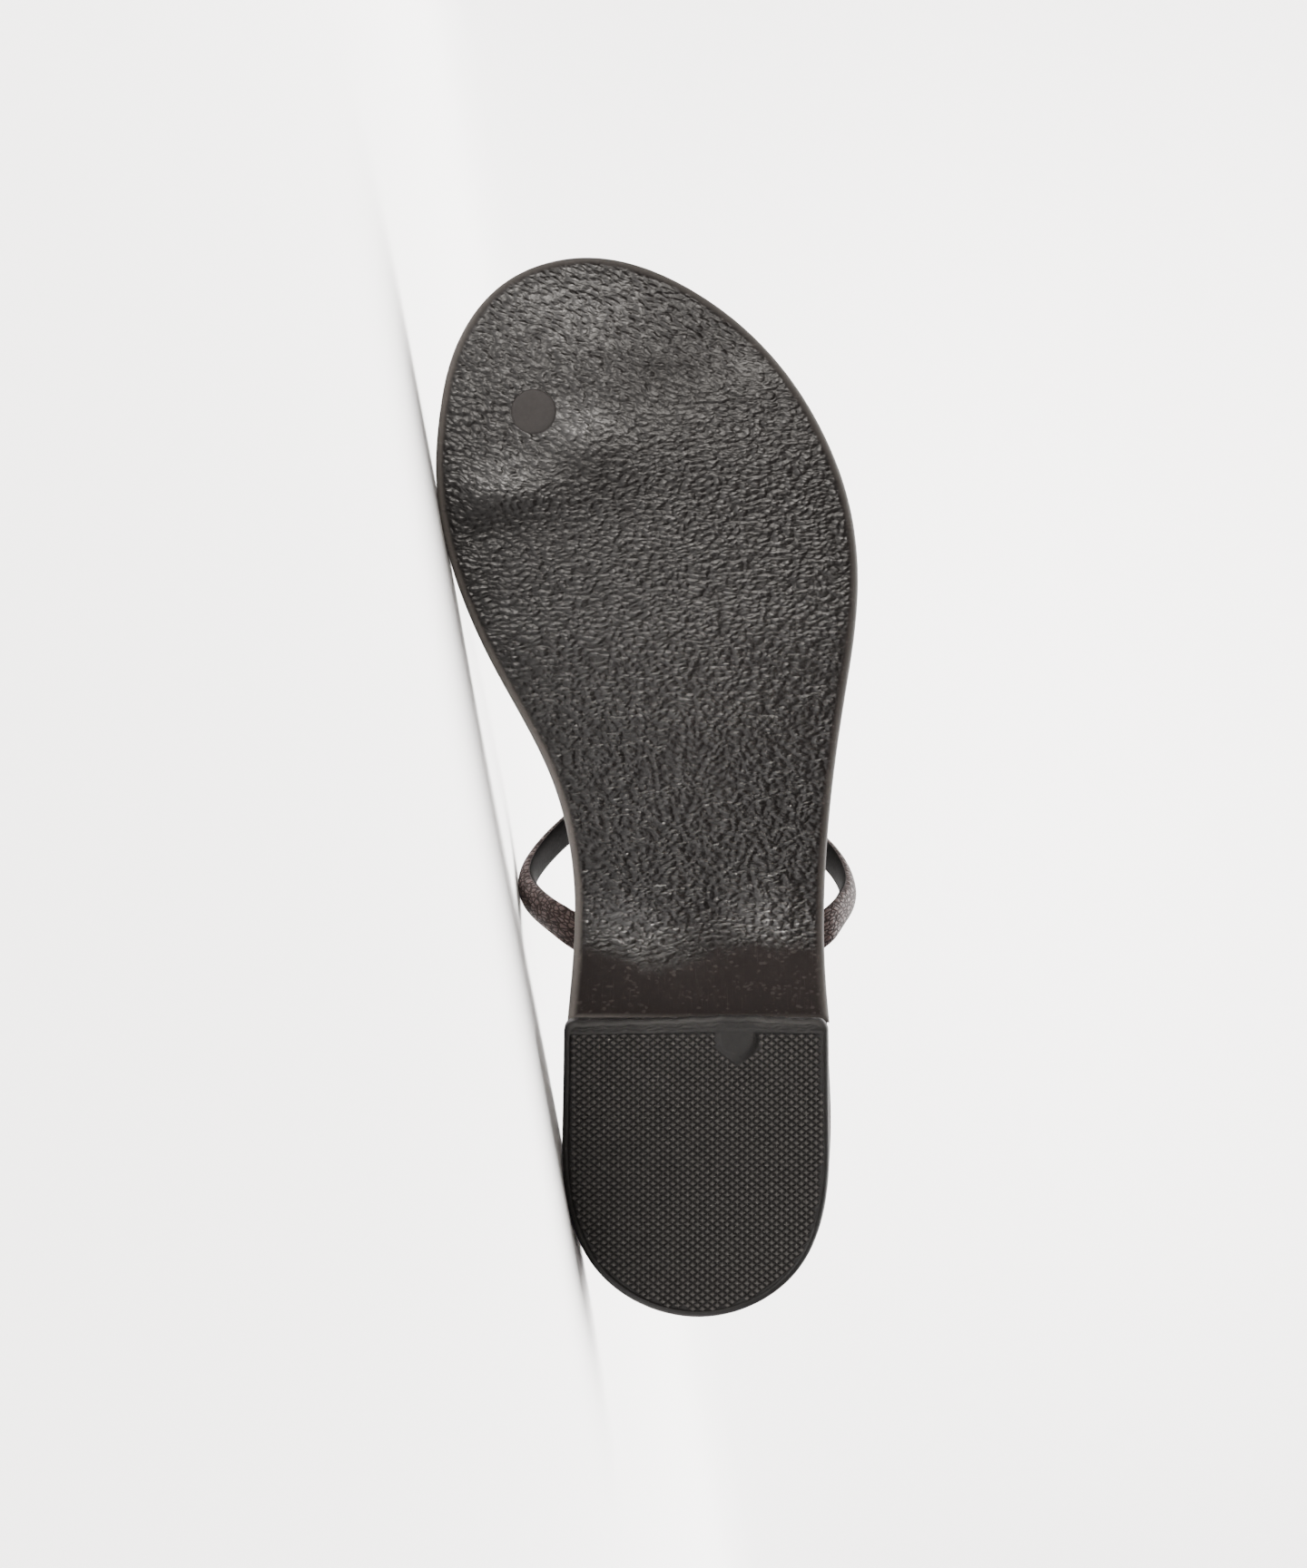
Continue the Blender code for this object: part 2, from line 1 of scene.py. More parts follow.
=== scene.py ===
"""Left thong sandal lying on its inner side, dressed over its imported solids.

The shoe's own axes are used for every shape: across (towards the big-toe side), along (from
the back of the heel to the toe) and height (up from the ground face), all in millimetres.
ShoeFrame lays the finished meshes down in the row frame, in metres.
"""

from __future__ import annotations

import logging
import math
from dataclasses import dataclass
from enum import Enum
from typing import Callable, NamedTuple
import bmesh
import bpy
import numpy as np
from mathutils import Matrix, Vector
from mathutils.kdtree import KDTree


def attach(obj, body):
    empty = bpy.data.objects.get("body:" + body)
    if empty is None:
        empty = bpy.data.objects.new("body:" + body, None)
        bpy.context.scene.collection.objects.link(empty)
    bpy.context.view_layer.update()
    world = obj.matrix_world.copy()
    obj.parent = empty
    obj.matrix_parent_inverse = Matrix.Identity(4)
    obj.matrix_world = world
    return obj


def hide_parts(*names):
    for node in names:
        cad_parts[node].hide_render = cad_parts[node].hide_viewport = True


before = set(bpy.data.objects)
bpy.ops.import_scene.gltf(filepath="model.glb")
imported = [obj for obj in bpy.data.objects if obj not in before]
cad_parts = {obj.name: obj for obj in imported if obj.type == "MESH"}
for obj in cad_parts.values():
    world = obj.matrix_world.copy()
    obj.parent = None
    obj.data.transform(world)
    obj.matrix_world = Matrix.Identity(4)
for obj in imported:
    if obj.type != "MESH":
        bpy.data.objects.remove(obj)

LOG = logging.getLogger("thong_sandal")
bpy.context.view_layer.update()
MM = 0.001
GAP = 0.3
Array = np.ndarray
Tone = tuple[float, float, float]


class OutlinePoint(NamedTuple):
    """A point of an outline, across the shoe and along it from the heel, in millimetres."""

    name: str
    across: float
    along: float


class ProfileRow(NamedTuple):
    """Height of the footbed above its level at the tread, at one place along the shoe."""

    name: str
    along: float
    pitch: float


class RimRow(NamedTuple):
    """One step of a rounded rim: how far in from the outline, and how far up."""

    inset: float
    rise: float


class StrapRow(NamedTuple):
    """One section of a strap, with rise above the footbed and facing of its outer side."""

    name: str
    across: float
    along: float
    rise: float
    width: float
    thickness: float
    crown: float
    facing: float


class Swell(NamedTuple):
    """A soft ridge (rise over 0) or trough pressed into the outsole by wear."""

    name: str
    across: float
    along: float
    length: float
    breadth: float
    turn: float
    rise: float


class Spot(NamedTuple):
    """A place of painted highlight or painted shade on the outsole: its middle, its reach and its gain in
    gloss, which also lightens or darkens the crests' colour.
    """

    name: str
    across: float
    along: float
    breadth: float
    length: float
    gain: float


SOLE_OUTLINE = (
    OutlinePoint("heel_back", -0.9, 0.0),
    OutlinePoint("heel_medial_round", 23.1, 11.0),
    OutlinePoint("heel_medial", 31.1, 42.0),
    OutlinePoint("heel_breast_medial", 29.7, 73.0),
    OutlinePoint("waist_medial", 28.6, 97.0),
    OutlinePoint("arch_medial", 33.7, 124.0),
    OutlinePoint("ball_rear_medial", 46.4, 149.0),
    OutlinePoint("ball_medial", 58.0, 178.3),
    OutlinePoint("joint_medial", 60.3, 195.5),
    OutlinePoint("toe_base_medial", 59.5, 208.5),
    OutlinePoint("big_toe_medial", 56.5, 222.8),
    OutlinePoint("big_toe_round", 44.3, 240.2),
    OutlinePoint("toe_tip", 25.1, 246.0),
    OutlinePoint("toe_round_lateral", 1.0, 238.0),
    OutlinePoint("toe_lateral", -18.8, 220.6),
    OutlinePoint("small_toe", -29.5, 203.5),
    OutlinePoint("small_toe_joint", -35.4, 186.8),
    OutlinePoint("ball_lateral", -37.2, 169.0),
    OutlinePoint("waist_front_lateral", -33.9, 140.5),
    OutlinePoint("waist_lateral", -30.2, 100.0),
    OutlinePoint("heel_breast_lateral", -30.7, 72.0),
    OutlinePoint("heel_lateral", -32.2, 42.0),
    OutlinePoint("heel_lateral_round", -24.4, 11.0),
)

LIFT_OUTLINE = (
    OutlinePoint("front_lateral", -30.3, 74.0),
    OutlinePoint("side_lateral", -30.6, 45.0),
    OutlinePoint("rear_lateral", -29.9, 28.0),
    OutlinePoint("round_lateral", -23.4, 11.0),
    OutlinePoint("heel_back", -1.4, 0.0),
    OutlinePoint("round_medial", 23.3, 11.0),
    OutlinePoint("rear_medial", 30.3, 28.0),
    OutlinePoint("side_medial", 31.0, 47.0),
    OutlinePoint("front_medial", 30.6, 74.0),
)

FOOTBED_PROFILE = (
    ProfileRow("heel_seat_back", 0.0, 16.4),
    ProfileRow("heel_seat", 45.0, 16.0),
    ProfileRow("heel_breast", 70.0, 14.9),
    ProfileRow("waist", 95.0, 11.1),
    ProfileRow("arch", 120.0, 5.6),
    ProfileRow("arch_front", 142.0, 1.5),
    ProfileRow("tread_rear", 160.0, 0.0),
    ProfileRow("tread_front", 192.0, 0.0),
    ProfileRow("toe_crease", 212.0, 1.0),
    ProfileRow("toe", 230.0, 3.6),
    ProfileRow("toe_end", 246.0, 7.0),
)

INSTEP_STRAP = (
    StrapRow("lateral_tail", -17.6, 79.4, -4.5, 7.6, 1.5, 0.5, -180.0),
    StrapRow("lateral_tail_mid", -24.2, 84.2, -4.5, 7.6, 1.5, 0.5, -180.0),
    StrapRow("lateral_exit", -30.4, 88.8, -4.2, 7.6, 1.6, 0.5, -172.0),
    StrapRow("lateral_turn", -34.6, 92.7, 2.4, 7.6, 3.5, 0.531, -126.0),
    StrapRow("lateral_bulge", -37.0, 97.9, 17.5, 7.4, 4.0, 0.578, -90.0),
    StrapRow("lateral_shoulder", -32.4, 106.2, 35.0, 7.2, 4.1, 0.598, -58.0),
    StrapRow("lateral_crown", -14.5, 118.0, 47.0, 7.2, 4.0, 0.648, -26.0),
    StrapRow("join", 7.5, 125.5, 50.0, 7.2, 3.7, 0.7, 4.0),
    StrapRow("medial_crown", 24.5, 117.2, 45.0, 7.2, 4.0, 0.648, 36.0),
    StrapRow("medial_shoulder", 35.8, 107.4, 34.0, 7.4, 4.3, 0.602, 64.0),
    StrapRow("medial_bulge", 40.55, 99.8, 21.5, 7.8, 4.4, 0.589, 90.0),
    StrapRow("medial_turn", 35.8, 92.6, 3.4, 8.2, 3.7, 0.519, 126.0),
    StrapRow("medial_exit", 29.0, 88.4, -4.2, 8.2, 1.6, 0.5, 172.0),
    StrapRow("medial_tail_mid", 22.6, 84.2, -4.5, 8.0, 1.5, 0.5, 180.0),
    StrapRow("medial_tail", 16.0, 79.4, -4.5, 8.0, 1.5, 0.5, 180.0),
)

TOE_STRAP = (
    StrapRow("lap", 6.9, 124.2, 50.0, 7.0, 3.6, 0.6, 0.0),
    StrapRow("instep", 10.9, 137.0, 47.5, 7.0, 3.6, 0.7, 6.0),
    StrapRow("dorsum", 21.5, 165.0, 37.0, 6.8, 3.6, 0.7, 16.0),
    StrapRow("knuckle", 31.4, 190.0, 24.5, 6.2, 3.8, 0.65, 26.0),
    StrapRow("crotch", 36.4, 204.4, 14.5, 5.4, 4.2, 0.55, 54.0),
    StrapRow("post_top", 37.7, 208.9, 5.0, 4.8, 4.6, 0.5, 86.0),
    StrapRow("post_foot", 37.7, 209.0, -5.5, 4.8, 4.6, 0.5, 90.0),
)

# Painted highlight (sheen) and painted shade (dull) spots of the outsole: each raises or lowers the
# grain's gloss and the lighter colour of its crests
SHEEN_AND_SHADE_SPOTS = (
    Spot("toe_sheen", 29.0, 234.0, 15.0, 7.5, 0.45),
    Spot("toe_lateral_dull", 2.0, 226.0, 13.0, 13.0, -0.12),
    Spot("toe_middle_dull", 12.0, 217.0, 13.0, 7.0, -0.14),
    Spot("plug_side_sheen", 28.0, 206.0, 6.5, 4.5, 0.65),
    Spot("joint_sheen", 45.0, 193.5, 10.0, 5.0, 0.45),
    Spot("ball_middle_dull", 24.0, 194.0, 11.0, 8.0, -0.26),
    # painted shade along the joint trough
    Spot("joint_trough", 46.0, 182.5, 15.0, 5.0, -0.24),
    Spot("ball_lateral_sheen", -16.0, 174.0, 16.0, 16.0, 0.06),
    Spot("band_medial", 15.5, 91.0, 10.0, 5.0, 0.55),
    Spot("band_lateral", -19.0, 91.0, 8.0, 6.0, 0.85),
    Spot("band_middle_dull", -1.0, 90.0, 8.0, 6.0, -0.22),
)

# Soft forms pressed into the outsole, read from the light on it
OUTSOLE_SWELLS = (
    Swell("plug_hollow", 37.0, 207.5, 13.0, 11.0, 0.0, -0.55),
    Swell("joint_ridge", 47.0, 189.5, 17.0, 5.0, -6.0, 0.62),
    Swell("joint_trough", 44.0, 182.0, 18.0, 4.5, -4.0, -0.34),
    Swell("plug_side_ridge", 25.5, 203.0, 8.0, 5.5, 20.0, 0.34),
    Swell("toe_dip", 10.0, 214.0, 22.0, 10.0, 25.0, -0.18),
    Swell("ball_wave", 2.0, 176.0, 28.0, 7.0, 8.0, 0.16),
    Swell("arch_wave", -4.0, 135.0, 24.0, 9.0, 0.0, 0.20),
    Swell("waist_medial_swell", 13.0, 95.5, 10.0, 6.5, 10.0, 0.40),
    Swell("waist_lateral_swell", -18.0, 94.5, 9.0, 6.5, -8.0, 0.46),
)


@dataclass(frozen=True)
class ShoeFrame:
    """How the lying shoe's own axes sit in the row frame.

    Args:
        turn: Angle about the sole's normal that levels heel and ball on the floor.
        place: Row position of the shoe's own origin, in metres.
    """

    turn: float = 0.18324008
    place: tuple[float, float, float] = (0.12324176, -0.03326278, 0.02467754)

    def matrix(self) -> Matrix:
        """Returns the transform from shoe metres to row metres."""
        on_side = Matrix(((0, -1, 0), (0, 0, 1), (-1, 0, 0))).to_4x4()
        return Matrix.Translation(self.place) @ on_side @ Matrix.Rotation(self.turn, 4, "Z")

    def row(self, across: float, along: float, height: float) -> Vector:
        """Row position of a place on the shoe.

        Args:
            across: Millimetres towards the big-toe side.
            along: Millimetres from the back of the heel.
            height: Millimetres up from the ground face.

        Returns:
            The place in metres, in the row frame.
        """
        return self.matrix() @ (Vector((across, along, height)) * MM)

    def direction(self, across: float, along: float, height: float) -> Vector:
        """Row direction of a direction on the shoe, as a unit vector."""
        return (self.matrix().to_3x3() @ Vector((across, along, height))).normalized()


SHOE = ShoeFrame()


def spline(points: Array, knots: Array, at: Array, closed: bool) -> Array:
    """Cubic spline through points at their knots.

    Args:
        points: Points in rows.
        knots: Rising parameter of each point.
        at: Parameters to read the spline at.
        closed: Whether the last point joins the first smoothly.

    Returns:
        One row for each parameter.
    """
    spans = np.diff(knots)
    slopes = np.diff(points, axis=0) / spans[:, None]
    count = len(points) - 1 if closed else len(points)
    system = np.eye(count)
    right = np.zeros((count, points.shape[1]))
    for i in range(count) if closed else range(1, count - 1):
        before, after = spans[i - 1], spans[i]
        system[i, i] = 2 * (before + after)
        system[i, i - 1] = before
        system[i, (i + 1) % count] = after
        right[i] = 6 * (slopes[i] - slopes[i - 1])
    bends = np.linalg.solve(system, right)
    if closed:
        bends = np.vstack([bends, bends[:1]])
    span = np.clip(np.searchsorted(knots, at, side="right") - 1, 0, len(spans) - 1)
    width = spans[span][:, None]
    ahead = (knots[span + 1] - at)[:, None] / width
    behind = 1 - ahead
    lift = (ahead**3 - ahead) * bends[span] + (behind**3 - behind) * bends[span + 1]
    return ahead * points[span] + behind * points[span + 1] + lift * width**2 / 6


def smooth_path(points: Array, samples: int, closed: bool, spaced_by: int) -> Array:
    """Even samples of a spline through points.

    Args:
        points: Points in rows.
        samples: Number of steps.
        closed: Whether the path ends where it starts.
        spaced_by: How many of the first columns the knots' spacing follows.

    Returns:
        One row for each sample.
    """
    if closed:
        points = np.vstack([points, points[:1]])
    chords = np.linalg.norm(np.diff(points[:, :spaced_by], axis=0), axis=1)
    knots = np.concatenate([[0.0], np.cumsum(chords)])
    return spline(points, knots, np.linspace(0, knots[-1], samples + 1), closed)


def monotone_profile(along: Array, heights: Array) -> Callable[[Array], Array]:
    """Smooth profile that is level wherever two of its rows are level.

    Args:
        along: Places of the rows.
        heights: Heights of the rows.

    Returns:
        A function from places to heights.
    """
    spans = np.diff(along)
    slopes = np.diff(heights) / spans
    tangents = np.zeros(len(along))
    weight_a = 2 * spans[1:] + spans[:-1]
    weight_b = spans[1:] + 2 * spans[:-1]
    for i in np.flatnonzero(slopes[:-1] * slopes[1:] > 0):
        shares = weight_a[i] / slopes[i] + weight_b[i] / slopes[i + 1]
        tangents[i + 1] = (weight_a[i] + weight_b[i]) / shares
    tangents[0], tangents[-1] = slopes[0], slopes[-1]

    def height(at: Array) -> Array:
        """Height between the rows.

        Args:
            at: Places along the shoe.

        Returns:
            One height for each place.
        """
        at = np.asarray(at, float)
        i = np.clip(np.searchsorted(along, at, side="right") - 1, 0, len(spans) - 1)
        t = (at - along[i]) / spans[i]
        start = heights[i] * (1 + 2 * t) * (1 - t) ** 2 + tangents[i] * spans[i] * t * (1 - t) ** 2
        end = heights[i + 1] * t**2 * (3 - 2 * t) + tangents[i + 1] * spans[i] * t**2 * (t - 1)
        return start + end

    return height


def smoothstep(low: float, high: float, value: Array) -> Array:
    """Smooth rise from 0 at low to 1 at high."""
    share = np.clip((value - low) / (high - low), 0, 1)
    return share**2 * (3 - 2 * share)


class Outline:
    """A shoe-shaped outline as two branches from the back of the heel forward."""

    SAMPLES = 1440

    def __init__(self, points: Array, closed: bool) -> None:
        """Splits an outline into its lateral and medial branches.

        Args:
            points: Points in rows, with the inside on their left.
            closed: Whether the last point joins the first.
        """
        self.points = points
        self.closed = closed
        if closed:
            rolled = np.roll(points, -int(points[:, 1].argmin()), axis=0)
            split = int(rolled[:, 1].argmax())
            self.medial = rolled[: split + 1]
            self.lateral = np.vstack([rolled[:1], rolled[split:][::-1]])
        else:
            split = int(points[:, 1].argmin())
            self.lateral = points[: split + 1][::-1]
            self.medial = points[split:]

    @classmethod
    def through(cls, rows: tuple[OutlinePoint, ...], closed: bool) -> Outline:
        """Outline through the rows of a table.

        Args:
            rows: Points, with the inside on their left.
            closed: Whether the last point joins the first.

        Returns:
            The smooth outline.
        """
        points = np.array([(row.across, row.along) for row in rows])
        path = smooth_path(points, cls.SAMPLES, closed, 2)
        return cls(path[:-1] if closed else path, closed)

    def inset(self, distance: float) -> Outline:
        """The outline moved inwards, square to its edge.

        Args:
            distance: Millimetres to move it by.

        Returns:
            The smaller outline.
        """
        if distance == 0:
            return self
        ahead = np.roll(self.points, -1, axis=0) - np.roll(self.points, 1, axis=0)
        if not self.closed:
            ahead[0], ahead[-1] = ahead[1], ahead[-2]
        inward = np.column_stack([-ahead[:, 1], ahead[:, 0]])
        inward /= np.linalg.norm(inward, axis=1)[:, None]
        return Outline(self.points + inward * distance, self.closed)

    def ends(self) -> tuple[float, float]:
        """Where the outline starts and stops along the shoe."""
        return float(self.medial[0, 1]), float(self.medial[-1, 1])

    def across(self, along: Array) -> tuple[Array, Array]:
        """Where the outline's two sides lie.

        Args:
            along: Places along the shoe.

        Returns:
            The lateral and the medial edge at each place.
        """
        lateral = np.interp(along, self.lateral[:, 1], self.lateral[:, 0])
        medial = np.interp(along, self.medial[:, 1], self.medial[:, 0])
        return lateral, medial

    def distance(self, across: Array, along: Array) -> Array:
        """How far places lie from the outline.

        Args:
            across: Places across the shoe.
            along: The same places along the shoe.

        Returns:
            Distances in millimetres, in the shape of across.
        """
        places = np.column_stack([across.ravel(), along.ravel()])
        nearest = np.full(len(places), np.inf)
        for chunk in np.array_split(self.points, 24):
            gaps = np.hypot(places[:, :1] - chunk[:, 0], places[:, 1:] - chunk[:, 1])
            nearest = np.minimum(nearest, gaps.min(axis=1))
        return nearest.reshape(across.shape)


SOLE = Outline.through(SOLE_OUTLINE, closed=True)
LIFT = Outline.through(LIFT_OUTLINE, closed=False)


@dataclass(frozen=True)
class SoleShape:
    """Layer thicknesses and heights of the sole, in millimetres."""

    outsole: float = 3.5
    footbed: float = 5.5
    dish: float = 0.8
    dish_insets: tuple[float, ...] = (1.4, 4.5, 9.0, 14.0)
    sock: float = 1.0
    lift: float = 5.0
    lift_front: float = 68.8
    lift_corner: float = 2.4
    flap_start: float = 94.0
    flap_end: float = 67.4
    block_front: float = 86.0
    block_inset: float = 0.4
    thong: tuple[float, float] = (37.7, 209.0)
    plug_radius: float = 5.2

    def footbed_top(self, along: Array) -> Array:
        """Height of the footbed's upper edge.

        Args:
            along: Places along the shoe.

        Returns:
            One height for each place.
        """
        rows = FOOTBED_PROFILE
        pitch = monotone_profile(np.array([r.along for r in rows]), np.array([r.pitch for r in rows]))
        return self.outsole + GAP + self.footbed + pitch(along)

    def footbed_seat(self, along: Array) -> Array:
        """Height of the footbed's underside."""
        return self.footbed_top(along) - self.footbed

    def footbed_slope(self, along: float) -> float:
        """Rise of the footbed for each millimetre towards the toe."""
        return float(self.footbed_top(along + 1) - self.footbed_top(along - 1)) / 2

    def outsole_bottom(self, along: Array) -> Array:
        """Height of the outsole's ground side, with the flap down the heel breast.

        Args:
            along: Places along the shoe.

        Returns:
            One height for each place.
        """
        along = np.asarray(along, float)
        under = self.footbed_seat(along) - GAP - self.outsole
        reach = np.clip((self.flap_start - along) / (self.flap_start - self.flap_end), 0, None)
        at_end = self.footbed_seat(self.flap_end) - GAP - self.outsole
        return under - (at_end - self.lift - GAP) * reach**2

    def dish_drop(self, inset: float) -> float:
        """How far the footbed's face lies below its edge, at a distance in from it."""
        return self.dish * float(smoothstep(self.dish_insets[0], self.dish_insets[-1], inset))


SHAPE = SoleShape()


def stations(start: float, stop: float, count: int) -> Array:
    """Places along a piece, closer together towards its round ends."""
    share = np.linspace(0, 1, count + 1)
    return start + (stop - start) * (1 - np.cos(math.pi * share)) / 2


def edge_loop(outline: Outline, along: Array, heights: Array) -> Array:
    """Lateral and medial points of one loop: stations, sides, coordinates."""
    sides = [np.column_stack([x, along, heights]) for x in outline.across(along)]
    return np.stack(sides, axis=1)


def cap_grid(rim: Array, columns: int) -> Array:
    """Grid of places between the two sides of a rim: stations, columns, coordinates."""
    share = np.linspace(0, 1, columns + 1)[None, :, None]
    return rim[:, :1] * (1 - share) + rim[:, 1:] * share


class MeshMaker:
    """Gathers vertices and faces in shoe millimetres and makes one object of them."""

    def __init__(self, name: str) -> None:
        """Starts an empty mesh.

        Args:
            name: Name of the object to make.
        """
        self.name = name
        self.points: list[Array] = []
        self.faces: list[tuple[int, ...]] = []
        self.count = 0

    def add(self, points: Array) -> int:
        """Adds points.

        Args:
            points: Points in any array of coordinates.

        Returns:
            The index of the first.
        """
        first = self.count
        flat = np.asarray(points, float).reshape(-1, 3)
        self.points.append(flat)
        self.count += len(flat)
        return first

    def grid(self, points: Array, wrap: bool = False) -> None:
        """Adds a sheet of quads.

        Args:
            points: Rows, columns, coordinates.
            wrap: Whether the last column joins the first.
        """
        rows, columns = points.shape[:2]
        first = self.add(points)
        for i in range(rows - 1):
            for j in range(columns if wrap else columns - 1):
                k = (j + 1) % columns
                low, high = first + i * columns, first + (i + 1) * columns
                self.faces.append((low + j, low + k, high + k, high + j))

    def fan(self, points: Array) -> None:
        """Adds one many-sided face."""
        first = self.add(points)
        self.faces.append(tuple(range(first, first + len(points))))

    def plate(self, rims: list[Array], low: Array, high: Array) -> None:
        """Adds a plate.

        Args:
            rims: Loops that its wall runs through.
            low: Grid over the first rim.
            high: Grid over the last rim.
        """
        walls = np.stack([np.concatenate([rim[:, 1], rim[::-1, 0]]) for rim in rims])
        self.grid(walls, wrap=True)
        self.grid(low)
        self.grid(high)

    def make(self, smooth_angle: float = 40.0) -> bpy.types.Object:
        """Makes the object, welded, facing outwards and laid down in the row frame.

        Args:
            smooth_angle: Edges that turn more than this stay sharp, in degrees.

        Returns:
            The new object.
        """
        mesh = bpy.data.meshes.new(self.name)
        mesh.from_pydata(np.concatenate(self.points).tolist(), [], self.faces)
        work = bmesh.new()
        work.from_mesh(mesh)
        bmesh.ops.remove_doubles(work, verts=work.verts, dist=1e-4)
        bmesh.ops.recalc_face_normals(work, faces=work.faces)
        work.to_mesh(mesh)
        work.free()
        mesh.transform(SHOE.matrix() @ Matrix.Scale(MM, 4))
        mesh.shade_smooth()
        mesh.set_sharp_from_angle(angle=math.radians(smooth_angle))
        piece = bpy.data.objects.new(self.name, mesh)
        bpy.context.scene.collection.objects.link(piece)
        return piece


def vertex_array(mesh: bpy.types.Mesh) -> Array:
    """Vertex positions of a mesh.

    Args:
        mesh: Mesh to read.

    Returns:
        One row for each vertex.
    """
    places = np.empty(len(mesh.vertices) * 3)
    mesh.vertices.foreach_get("co", places)
    return places.reshape(-1, 3)


def shoe_array(mesh: bpy.types.Mesh) -> Array:
    """Shoe coordinates of a laid-down mesh's vertices as rows, in millimetres."""
    back = np.array(SHOE.matrix().inverted())
    return (vertex_array(mesh) @ back[:3, :3].T + back[:3, 3]) / MM


def add_values(mesh: bpy.types.Mesh, name: str, values: Array) -> None:
    """Stores values on a mesh for its finish to read.

    Args:
        mesh: Mesh to store them on.
        name: Name to store them under.
        values: One number, or one row of three, for each vertex.
    """
    values = np.asarray(values, float)
    kind, part = ("FLOAT", "value") if values.ndim == 1 else ("FLOAT_VECTOR", "vector")
    mesh.attributes.new(name, kind, "POINT").data.foreach_set(part, values.ravel())


class Field:
    """A shader value that can be calculated with."""

    def __init__(self, tree: bpy.types.NodeTree, socket: bpy.types.NodeSocket) -> None:
        """Holds one socket of a node tree."""
        self.tree = tree
        self.socket = socket

    def node(self, kind: str, out: str = "", settings: dict | None = None, **inputs: object) -> Field:
        """Adds any node to the same tree.

        Args:
            kind: Node type without its ShaderNode prefix.
            out: Name of the output to return, or the first when empty.
            settings: Node properties to set.
            inputs: Values or fields by input name, with _ for spaces, or by n and its number.

        Returns:
            The chosen output.
        """
        made = self.tree.nodes.new(f"ShaderNode{kind}")
        for key, value in (settings or {}).items():
            setattr(made, key, value)
        for key, value in inputs.items():
            index = int(key[1:]) if key[:1] == "n" and key[1:].isdigit() else key.replace("_", " ")
            target = made.inputs[index]
            if isinstance(value, Field):
                self.tree.links.new(value.socket, target)
            else:
                target.default_value = value
        return Field(self.tree, made.outputs[out] if out else made.outputs[0])

    def math(self, operation: str, *others: Field | float) -> Field:
        """One Math node on this value and others."""
        extra = {f"n{i + 1}": other for i, other in enumerate(others)}
        return self.node("Math", settings={"operation": operation}, n0=self, **extra)

    def __add__(self, other: Field | float) -> Field:
        """Sum of two values."""
        return self.math("ADD", other)

    def __sub__(self, other: Field | float) -> Field:
        """Difference of two values."""
        return self.math("SUBTRACT", other)

    def __mul__(self, other: Field | float) -> Field:
        """Product of two values."""
        return self.math("MULTIPLY", other)

    def __neg__(self) -> Field:
        """This value with its sign changed."""
        return self.math("MULTIPLY", -1.0)

    def __rsub__(self, other: float) -> Field:
        """This value taken from a number."""
        return (-self).math("ADD", other)

    def step(self, low: float, high: float) -> Field:
        """Smooth rise from 0 at low to 1 at high."""
        settings = {"interpolation_type": "SMOOTHSTEP"}
        return self.node("MapRange", settings=settings, Value=self, From_Min=low, From_Max=high)

    def scaled(self, x: float, y: float, z: float) -> Field:
        """This vector with its parts multiplied."""
        settings = {"operation": "MULTIPLY"}
        return self.node("VectorMath", settings=settings, n0=self, n1=(x, y, z))

    def turned(self, degrees: float) -> Field:
        """This vector turned about its third axis."""
        settings = {"rotation_type": "Z_AXIS"}
        return self.node("VectorRotate", settings=settings, Vector=self, Angle=math.radians(degrees))

    def noise(self, scale: float, detail: float = 2.0, rough: float = 0.5) -> Field:
        """Noise texture over this vector."""
        return self.node("TexNoise", Vector=self, Scale=scale, Detail=detail, Roughness=rough)

    def cells(self, scale: float, feature: str, smooth: float = 1.0) -> Field:
        """Cell texture over this vector.

        Args:
            scale: Cells to the millimetre.
            feature: Which distance to read.
            smooth: Smoothness, where the feature has one.

        Returns:
            The distance.
        """
        made = self.node("TexVoronoi", "Distance", {"feature": feature}, Vector=self, Scale=scale)
        if feature == "SMOOTH_F1":
            made.socket.node.inputs["Smoothness"].default_value = smooth
        return made

    def mixed(self, low: Field, high: Field | float) -> Field:
        """Low where this is 0 and high where it is 1, as values."""
        return low + (high - low) * self

    def blended(self, low: Field | Tone, high: Field | Tone) -> Field:
        """A colour between two by this value.

        Args:
            low: Colour where this is 0.
            high: Colour where this is 1.

        Returns:
            The colour.
        """
        ends = {"n6": low, "n7": high}
        ends = {key: end if isinstance(end, Field) else (*end, 1) for key, end in ends.items()}
        made = self.node("Mix", settings={"data_type": "RGBA"}, n0=self, **ends)
        return Field(self.tree, made.socket.node.outputs[2])


class Layers(NamedTuple):
    """Parts of a finish: bump depth is in millimetres, and gloss is its share of polish."""

    colour: Field
    roughness: Field
    height: Field
    depth: float
    gloss: Field | None = None


class Space(Enum):
    """Which coordinates a finish is laid out in."""

    SHOE = "shoe"
    STRAP = "strap"


